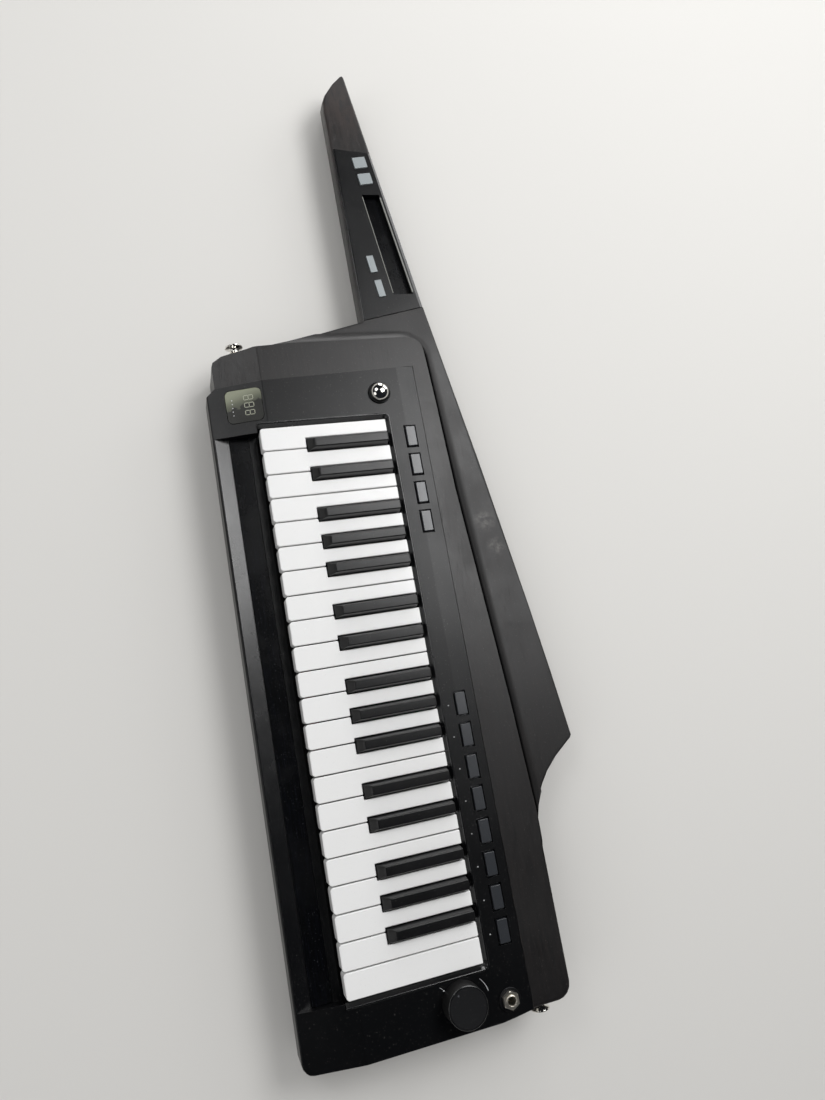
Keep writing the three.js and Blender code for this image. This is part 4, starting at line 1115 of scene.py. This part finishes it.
# %% Screws and grip ribs
FACE_DOWN = Matrix.Rotation(math.pi, 4, "X")
FACE_TAIL = Matrix.Rotation(math.pi / 2, 4, "Y")
SUNK = 0.02
HEAD_HEIGHT = 0.25
SCREW_INSET = 5.5
SCREWS_ALONG = 5
cover_low, cover_high = reach_of("rear_cover")
screw_span = cover_high.x - cover_low.x - 2 * SCREW_INSET
cover_screws = [
    at(cover_low.x + SCREW_INSET + screw_span * count / (SCREWS_ALONG - 1), across, cover_low.z + SUNK)
    for count in range(SCREWS_ALONG)
    for across in (cover_low.y + SCREW_INSET, cover_high.y - SCREW_INSET)
]
cover_screw = screw_head(2.9, HEAD_HEIGHT, FACE_DOWN)
repeated("cover_screws", cover_screws, cover_screw, SCREW, spread=math.pi)

RIB_INSET, RIB_PITCH, RIB_COUNT = 7, 2.4, 7
door_low, door_high = reach_of("battery_door")
rib_middle = (door_low.y + door_high.y) / 2
grip_ribs = [
    at(door_low.x + RIB_INSET + RIB_PITCH * count, rib_middle, door_low.z + SUNK)
    for count in range(RIB_COUNT)
]
rib = bar(1.1, 20, 0.25, 0.1, FACE_DOWN)
repeated("battery_door_ribs", grip_ribs, rib, TEXTURED, "battery_door")

# %% [markdown]
# ## Inside the sockets
# Each socket shows what a plug would meet: a plated ring round the output, five pins in a half circle in
# the data socket, a tongue in the computer socket and one pin in the power socket. The rings and pins are
# spun, and all of them are turned to face the tail. Places across are insets from the plate's wing side.

# %% Screws of the plate, and the output
plate_low, plate_high = reach_of("connector_plate")
PLATE_FACE = plate_high.x
SOCKET_HEIGHT = (plate_low.z + plate_high.z) / 2
OUTPUT, DATA, COMPUTER, POWER = [plate_high.y - inset for inset in (10, 27.5, 44, 55.5)]
PLATE_SCREWS = [plate_high.y - inset for inset in (2.6, 35.9, 59.4)]
SCREW_HEIGHT = plate_high.z - 2.8


def in_socket(across, depth=0):
    """Places a shape in a socket, some millimetres deep, facing the tail."""
    return Matrix.Translation(at(PLATE_FACE - depth, across, SOCKET_HEIGHT)) @ FACE_TAIL


screw_places = [at(PLATE_FACE - SUNK, across, SCREW_HEIGHT) for across in PLATE_SCREWS]
repeated("plate_screws", screw_places, screw_head(1.5, HEAD_HEIGHT, FACE_TAIL), SCREW)
output_ring = [
    (3.1, -3.0), (3.1, 0.2), (3.4, 0.5), (5.0, 0.5), (5.3, 0.2), (5.3, -0.05),
    (3.3, -0.05), (3.3, -3.0), (3.1, -3.0),
]
piece("output_ring", spin(output_ring, 40, in_socket(OUTPUT)), NICKEL, "body")

# %% Data, computer and power sockets
DATA_DEPTH, PIN_CIRCLE, PIN_DROP = 9, 4.6, 1
PIN_ANGLES = (0, 45, 90, 135, 180)
SOCKET_DEPTH = 18
data_pins = []
for angle in PIN_ANGLES:
    pin_across = DATA + PIN_CIRCLE * math.cos(math.radians(angle))
    pin_height = SOCKET_HEIGHT + PIN_CIRCLE * math.sin(math.radians(angle)) - PIN_DROP
    data_pins.append(at(PLATE_FACE - DATA_DEPTH, pin_across, pin_height))
pin = spin([(0, 0), (0.65, 0), (0.65, 6.0), (0.45, 6.4), (0, 6.5)], 12, FACE_TAIL)
repeated("data_pins", data_pins, pin, BRASS)
data_ring = [
    (6.9, -3.0), (6.9, 0.0), (7.1, 0.25), (8.3, 0.25), (8.5, 0.0), (8.5, -0.05),
    (7.5, -0.05), (7.5, -3.0), (6.9, -3.0),
]
piece("data_ring", spin(data_ring, 56, in_socket(DATA)), NICKEL, "body")
tongue = bar(3.4, 6.0, SOCKET_DEPTH - 2, 0.3, in_socket(COMPUTER, SOCKET_DEPTH))
piece("computer_tongue", tongue, FRAME_PLASTIC, "body")
power_profile = [
    (0, 0), (1.0, 0), (1.0, SOCKET_DEPTH - 3), (0.7, SOCKET_DEPTH - 2.6), (0, SOCKET_DEPTH - 2.5),
]
power_pin = spin(power_profile, 20, in_socket(POWER, SOCKET_DEPTH))
piece("power_pin", power_pin, NICKEL, "body")

# %% [markdown]
# ## Keys
# A white key is a hollow moulding whose top edges are broken with a small round, and a black key has a
# sloping front and sides that lean in. Only the edges a finger can reach are rounded, because the hidden
# tail has to keep its exact saddle on the pivot. A black key's front also gets a low pad for the finger.

# %% Keys
KEY_TOP = top_of("key_c1")
KEY_ROUNDING = 0.8
KEY_REAR = 107
KEY_SKIRT = 45
PAD_MARGIN = 0.7
PAD_CORNER = 1.3
PAD_LIFT = 0.3


def reachable_key_edge(place, normals):
    return place.z > KEY_SKIRT and place.y < KEY_REAR


def sloping_front(faces, size):
    """Of the faces that slope down to the front, the largest by some measure."""
    slopes = [face for face in faces if face.is_valid and face.normal.y < -0.3 and face.normal.z > 0.2]
    return max(slopes, key=size)


def press_pad(shell):
    """Raises a pad with round corners on the sloping front of a black key, and gives its area."""
    slope = sloping_front(shell.faces, lambda face: face.calc_area())
    bmesh.ops.inset_individual(shell, faces=[slope], thickness=PAD_MARGIN * MM, depth=0)
    corners = bmesh.ops.bevel(
        shell, geom=slope.verts[:], offset=PAD_CORNER * MM, segments=4, profile=0.5,
        affect="VERTICES", clamp_overlap=True,
    )
    slope = sloping_front(corners["faces"] + list(shell.faces), lambda face: len(face.verts))
    bmesh.ops.inset_individual(shell, faces=[slope], thickness=PAD_LIFT * MM, depth=PAD_LIFT * MM)
    return round(slope.calc_area() / MM / MM, 1)


key_nodes = [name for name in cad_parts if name.startswith("key_") and name[-1].isdigit()]
for node in sorted(key_nodes):
    shell = model_shell(node)
    key_edges = round_edges(shell, KEY_ROUNDING, 3, reachable_key_edge)
    note = f", {key_edges} edges rounded"
    cap = node.replace("key_", "cap_")
    if top_of(node) > KEY_TOP + 1:
        note += f", pad of {press_pad(shell)} square mm"
        piece(cap, shell, BLACK_KEY, node, [node], note)
    else:
        piece(cap, shell, WHITE_KEY, node, [node], note)

# %% [markdown]
# ## Buttons, ribbons and window
# The buttons are caps moulded on a web that stays hidden under the panel. The ribbons are glossy films,
# and the window is a smoked pane that lies flush in the sloping front.

# %% Buttons, ribbons and window
finished_copy("function_caps", "function_keypad", SMOKED_BUTTON, "function_keypad", 0.5, 3)
finished_copy("program_caps", "program_keypad", SMOKED_BUTTON, "program_keypad", 0.5, 3)
for caps, keypad in (("neck_square_caps", "neck_square_keypad"), ("neck_long_caps", "neck_long_keypad")):
    finished_copy(caps, keypad, FROSTED_BUTTON, keypad, 0.45, 3)
finished_copy("front_ribbon", "long_ribbon", RIBBON, "body", 0.15, 2)
finished_copy("grip_ribbon", "neck_ribbon", RIBBON, "body", 0.15, 2)
finished_copy("display_pane", "display_window", WINDOW, "body", 0.25, 2)
finished_copy("battery_lid", "battery_door", TEXTURED, "battery_door", 0.4, 2)

# %% [markdown]
# ## Printed marks
# A white dot stands beside each program button, and a wedge round the volume knob shows which way is
# louder. Print is a hair thick, so dots are thin discs, and the wedge is a band that widens as it goes.

# %% Dots and volume marks
PRINT_HEIGHT = 0.05
PRINT_FOOT = CASE_TOP - 0.01
PROGRAM_FIRST, PROGRAM_PITCH, PROGRAM_COUNT = 245.6, 25.1, 8
DOT_ROW = 116.5
TICK_TURN = Matrix.Rotation(math.radians(48), 4, "Z")
program_dots = [
    at(PROGRAM_FIRST + PROGRAM_PITCH * count, DOT_ROW, PRINT_FOOT) for count in range(PROGRAM_COUNT)
]
repeated("program_dots", program_dots, disc(0.5, PRINT_HEIGHT), MARK)
repeated("volume_low_mark", [at(451.0, 72.8, PRINT_FOOT)], disc(0.6, PRINT_HEIGHT), MARK)
tick = bar(2.6, 0.35, PRINT_HEIGHT, 0.01, TICK_TURN)
repeated("volume_low_tick", [at(449.0, 71.0, PRINT_FOOT)], tick, MARK)

# %% Volume wedge
KNOB_ALONG, KNOB_ACROSS = 461.9, 85.1
WEDGE_START, WEDGE_SWEEP, WEDGE_STEPS = 126, -30, 12
WEDGE_INNER, WEDGE_OUTER = (20.4, 21.8), (20.7, 22.4)


def wedge_row(shell, share):
    """The corners of one cut through the wedge, some share of the way along it."""
    angle = math.radians(WEDGE_START + WEDGE_SWEEP * share)
    inner, outer = [near + (far - near) * share for near, far in (WEDGE_INNER, WEDGE_OUTER)]
    row = []
    for reach, lift in ((inner, 0), (outer, 0), (outer, PRINT_HEIGHT), (inner, PRINT_HEIGHT)):
        along, across = KNOB_ALONG + reach * math.cos(angle), KNOB_ACROSS + reach * math.sin(angle)
        row.append(shell.verts.new(at(along, across, PRINT_FOOT + lift)))
    return row


wedge = bmesh.new()
wedge_rows = [wedge_row(wedge, step / WEDGE_STEPS) for step in range(WEDGE_STEPS + 1)]
for near_row, far_row in zip(wedge_rows, wedge_rows[1:]):
    wall(wedge, near_row, far_row)
wedge.faces.new(wedge_rows[0])
wedge.faces.new(wedge_rows[-1][::-1])
piece("volume_wedge", closed_up(wedge), MARK, "body")

# %% [markdown]
# ## Digits and lamps of the display
# The display shows three plain digits made of seven bars each, and a row of small lamps beside them. They
# lie on the sloping pane. So its plane is measured first, and every bar is set down on it and tilted.

# %% The plane of the pane
pane = model_shell("display_window")
pane_face = max((face for face in pane.faces if face.normal.z > 0.5), key=lambda face: face.calc_area())
pane_normal, pane_point = pane_face.normal.copy(), pane_face.calc_center_median()
pane_tilt = Matrix.Rotation(math.atan2(-pane_normal.y, pane_normal.z), 4, "X")
pane.free()


def on_pane(along, across):
    """The place on the display pane over a place on the keyboard."""
    flat = at(along, across, 0)
    rise = (flat - pane_point).x * pane_normal.x + (flat - pane_point).y * pane_normal.y
    return Vector((flat.x, flat.y, pane_point.z - rise / pane_normal.z))


print("pane faces", [round(v, 3) for v in pane_normal])

# %% Digits and lamps
DIGIT_WIDTH, DIGIT_HEIGHT = 3.7, 7.4
DIGIT_PLACES, DIGIT_ACROSS = (-29.4, -22.9, -16.4), -4.6
STROKE, STROKE_GAP, STROKE_HEIGHT, STROKE_EDGE = 0.55, 0.5, 0.06, 0.02
LAMP_FIRST, LAMP_PITCH, LAMP_COUNT, LAMP_ACROSS = -28.6, 3.3, 5, -17.8
QUARTER_TURN = Matrix.Rotation(math.pi / 2, 4, "Z")
flat_bars, upright_bars = [], []
for along in DIGIT_PLACES:
    for row in (-1, 0, 1):
        flat_bars.append(on_pane(along, DIGIT_ACROSS + row * DIGIT_HEIGHT / 2))
    for side in (-1, 1):
        bar_along = along + side * DIGIT_WIDTH / 2
        for row in (-1, 1):
            upright_bars.append(on_pane(bar_along, DIGIT_ACROSS + row * DIGIT_HEIGHT / 4))
flat_bar = bar(DIGIT_WIDTH - STROKE_GAP, STROKE, STROKE_HEIGHT, STROKE_EDGE, pane_tilt)
upright_length = DIGIT_HEIGHT / 2 - STROKE_GAP
upright_bar = bar(upright_length, STROKE, STROKE_HEIGHT, STROKE_EDGE, pane_tilt @ QUARTER_TURN)
repeated("digit_bars_flat", flat_bars, flat_bar, DIGIT)
repeated("digit_bars_upright", upright_bars, upright_bar, DIGIT)
pane_lamps = [on_pane(LAMP_FIRST + LAMP_PITCH * count, LAMP_ACROSS) for count in range(LAMP_COUNT)]
repeated("display_lamps", pane_lamps, disc(0.42, 0.08, 12), LAMP_DOT)

# %% [markdown]
# ## Inside
# The frame, the boards and the battery tub hardly show, but they show through the gaps and with the
# battery door out. Their shapes are right as they are, so they only get their finishes.

# %% Inside
INSIDE = {
    "key_frame": FRAME_PLASTIC,
    "battery_box": FRAME_PLASTIC,
    "key_stop_felt": FELT,
    "key_contact_board": BOARD,
    "main_board": BOARD,
}
for node, material in INSIDE.items():
    for material_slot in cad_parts[node].material_slots:
        material_slot.material = material
print(len(INSIDE), "inner pieces painted")

# %% [markdown]
# ## Volume knob
# The knob is a tall plain cap with a flat matt top, dished by a hair, and a small round at the rim that
# takes the light. A turned part like this is a profile spun about its own axis. Its faces then get one of
# three finishes by the way they look: matt on top, polished on the rim, and a darker black down the side,
# which is painted shade.

# %% Volume knob
FITTING_FOOT = CASE_TOP + 0.3
STEM_RADIUS = 3
KNOB_TAPER = 0.985
FOOT_ROUND = 0.5
RIM_ROUND = 0.7
MATT_TOP, POLISHED_RIM, PAINTED_SHADE_SIDE = 0, 2, 1
knob_low, knob_high = reach_of("volume_knob")
knob_radius = (knob_high.x - knob_low.x) / 2
knob_top_radius = knob_radius * KNOB_TAPER
knob_profile = [
    (0, knob_low.z),
    (STEM_RADIUS, knob_low.z),
    (STEM_RADIUS, FITTING_FOOT),
    *arc((knob_radius - FOOT_ROUND, FITTING_FOOT + FOOT_ROUND), FOOT_ROUND, -90, 0, 4),
    *arc((knob_top_radius - RIM_ROUND, knob_high.z - RIM_ROUND), RIM_ROUND, 0, 90, 8),
    (knob_top_radius - 1.2, knob_high.z - 0.15),
    (0, knob_high.z - 0.2),
]
knob_shape = spin(knob_profile, 96, standing("volume_knob"))
knob = piece("volume_cap", knob_shape, KNOB, "volume_knob", ["volume_knob"])
# The side gets the knob's black made darker, as painted shade.
knob.data.materials.append(KNOB_SHADED_SIDE)
knob.data.materials.append(KNOB_RIM)
for face in knob.data.polygons:
    if face.normal.z > 0.995:
        face.material_index = MATT_TOP
    elif face.normal.z > 0.25:
        face.material_index = POLISHED_RIM
    else:
        face.material_index = PAINTED_SHADE_SIDE

# %% Pointer of the knob
POINTER_HEADING = Vector((-0.853, -0.522, 0))
POINTER_REACH = 0.74
POINTER_SUNK = 0.22
pointer_place = middle_of("volume_knob") + POINTER_HEADING * knob_radius * POINTER_REACH * MM
pointer_place.z = (knob_high.z - POINTER_SUNK) * MM
repeated("volume_pointer", [pointer_place], disc(0.7, 0.12), POINTER, "volume_knob")

# %% [markdown]
# ## Value dial
# The value dial is a polished dome that rises out of a black skirt, so it is two turned parts on one
# axis: the dome with its stem, and the skirt with a shallow pit that the dome stands in.

# %% Value dial
DIAL_SIDES = 64
SKIRT_RIM = 1.1
DOME_FOOT = 0.9
DOME_START = 1.6
DOME_STEPS = 12
dial_low, dial_high = reach_of("value_dial")
dial_radius = (dial_high.x - dial_low.x) / 2
dome_radius = dial_radius - SKIRT_RIM
skirt_profile = [
    (0, FITTING_FOOT + 0.1),
    (dial_radius - 0.3, FITTING_FOOT),
    *arc((dial_radius - 0.5, FITTING_FOOT + 1.1), 0.5, 0, 90, 5),
    (dome_radius + 0.5, FITTING_FOOT + 1.2),
    (dome_radius + 0.2, FITTING_FOOT + 0.8),
    (0, FITTING_FOOT + 0.8),
]
dome_height = dial_high.z - FITTING_FOOT - DOME_START
dome_profile = [
    (0, dial_low.z),
    (STEM_RADIUS, dial_low.z),
    (STEM_RADIUS, FITTING_FOOT + DOME_FOOT),
    (dome_radius, FITTING_FOOT + DOME_FOOT),
]
for step in range(DOME_STEPS):
    angle = math.pi / 2 * step / DOME_STEPS
    rise = DOME_START + dome_height * math.sin(angle)
    dome_profile.append((dome_radius * math.cos(angle), FITTING_FOOT + rise))
dome_profile.append((0, dial_high.z))
dial_axis = standing("value_dial")
dome = spin(dome_profile, DIAL_SIDES, dial_axis)
piece("value_dome", dome, CHROME, "value_dial", ["value_dial"])
skirt = spin(skirt_profile, DIAL_SIDES, dial_axis)
piece("value_skirt", skirt, KNOB, "value_dial")

# %% [markdown]
# ## Microphone jack
# The jack is held by a hexagon nut on a flat washer, and its sleeve stands out of the nut with a few
# turns of thread. The nut's corners are turned down, which is what catches the light on a real one. The
# sleeve and the washer are spun. The nut is a stack of rings that follow the hexagon or a circle,
# whichever is nearer.

# %% Sleeve and washer
BORE_RADIUS = 3.3
BORE_DEPTH = 3
SLEEVE_RADIUS = 4.3
THREAD_TURNS, THREAD_PITCH, THREAD_DEPTH = 2, 0.5, 0.25
NUT_DROP = 1
WASHER_HOLE = BORE_RADIUS + 1.2
WASHER_HEIGHT = 0.8
jack_low, jack_high = reach_of("mic_jack")
washer_radius = (jack_high.x - jack_low.x) / 2
nut_top = jack_high.z - NUT_DROP
bore_floor = jack_low.z + BORE_DEPTH
jack_axis = standing("mic_jack")
washer_profile = [
    (WASHER_HOLE, FITTING_FOOT),
    (washer_radius - 0.2, FITTING_FOOT),
    *arc((washer_radius - 0.3, FITTING_FOOT + 0.5), 0.3, 0, 90, 3),
    (WASHER_HOLE, FITTING_FOOT + WASHER_HEIGHT),
    (WASHER_HOLE, FITTING_FOOT),
]
thread = []
for count in range(THREAD_TURNS * 2):
    height = jack_high.z - 0.1 - THREAD_PITCH / 2 * count
    thread.append((SLEEVE_RADIUS - (0 if count % 2 else THREAD_DEPTH), height))
sleeve_profile = [
    (0, bore_floor), (BORE_RADIUS, bore_floor),
    (BORE_RADIUS, jack_high.z - 0.3), (BORE_RADIUS + 0.3, jack_high.z),
    *thread,
    (SLEEVE_RADIUS, nut_top - 1), (SLEEVE_RADIUS, jack_low.z + 24), (7, jack_low.z + 23.9),
    (7, jack_low.z), (0, jack_low.z),
]
piece("jack_sleeve", spin(sleeve_profile, 48, jack_axis), NICKEL, "body", ["mic_jack"])
piece("jack_washer", spin(washer_profile, 64, jack_axis), BLACK_STEEL, "body")

# %% Hexagon nut
NUT_RADIUS = 6.9
NUT_SIDES = 6
NUT_STEPS = 48
NUT_CHAMFER = 0.45


def nut_points(limit):
    """Points round a hexagon that is cut down to a circle where it reaches beyond it."""
    sector = math.pi / NUT_SIDES
    points = []
    for step in range(NUT_STEPS):
        angle = 2 * math.pi * step / NUT_STEPS
        flat = NUT_RADIUS * math.cos(sector) / math.cos(angle % (2 * sector) - sector)
        reach = min(flat, limit)
        points.append((reach * math.cos(angle), reach * math.sin(angle)))
    return points


nut = bmesh.new()
nut_foot = FITTING_FOOT + WASHER_HEIGHT
nut_levels = [
    (SLEEVE_RADIUS, nut_top), (NUT_RADIUS - 0.7, nut_top), (NUT_RADIUS - 0.1, nut_top - NUT_CHAMFER),
    (NUT_RADIUS, nut_top - NUT_CHAMFER - 0.1), (NUT_RADIUS, nut_foot), (SLEEVE_RADIUS, nut_foot),
]
nut_rings = [ring_of(nut, nut_points(limit), height) for limit, height in nut_levels]
for first, second in zip(nut_rings, nut_rings[1:] + nut_rings[:1]):
    wall(nut, first, second)
piece("jack_nut", closed_up(nut, jack_axis), NICKEL, "body")

# %% [markdown]
# ## Strap pins
# A strap pin is a chrome button on a wood screw: a wide foot against the body, a waist that the strap's
# slit closes round, and a head that keeps it there. Both pins are one shape, turned away from the body.

# %% Strap pins
PIN_FOOT = 7.2
PIN_WAIST = 4
PIN_HEAD = 7.5
PIN_LENGTH = 10.1
PIN_SCREW = 1.8
PIN_SCREW_LENGTH = 12
PIN_SIDES = 48
pin_profile = [
    (0, -PIN_SCREW_LENGTH),
    (PIN_SCREW, -PIN_SCREW_LENGTH + 1.5),
    (PIN_SCREW, 0),
    (PIN_FOOT - 0.5, 0),
    *arc((PIN_FOOT - 0.5, 0.6), 0.5, 0, 70, 4),
    (PIN_WAIST + 1.2, 1.9),
    (PIN_WAIST + 0.2, 3.1),
    (PIN_WAIST, 4.0),
    (PIN_WAIST + 0.1, 5.4),
    (PIN_WAIST + 1.4, 6.9),
    *arc((PIN_HEAD - 0.9, 8.4), 0.9, -60, 70, 6),
    (PIN_HEAD - 2.4, PIN_LENGTH - 0.1),
    (3.4, PIN_LENGTH),
    (3.1, PIN_LENGTH - 0.5),
    (0, PIN_LENGTH - 0.3),
]


def strap_pin(name, node, direction):
    low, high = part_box(node)
    seat = (low + high) / 2
    seat.x = high.x - PIN_SCREW_LENGTH * MM if direction < 0 else low.x + PIN_SCREW_LENGTH * MM
    turn = Matrix.Translation(seat) @ Matrix.Rotation(direction * math.pi / 2, 4, "Y")
    piece(name, spin(pin_profile, PIN_SIDES, turn), CHROME, "body", [node])


strap_pin("strap_button_neck_side", "strap_pin_neck_side", -1)
strap_pin("strap_button_tail", "strap_pin_tail", 1)
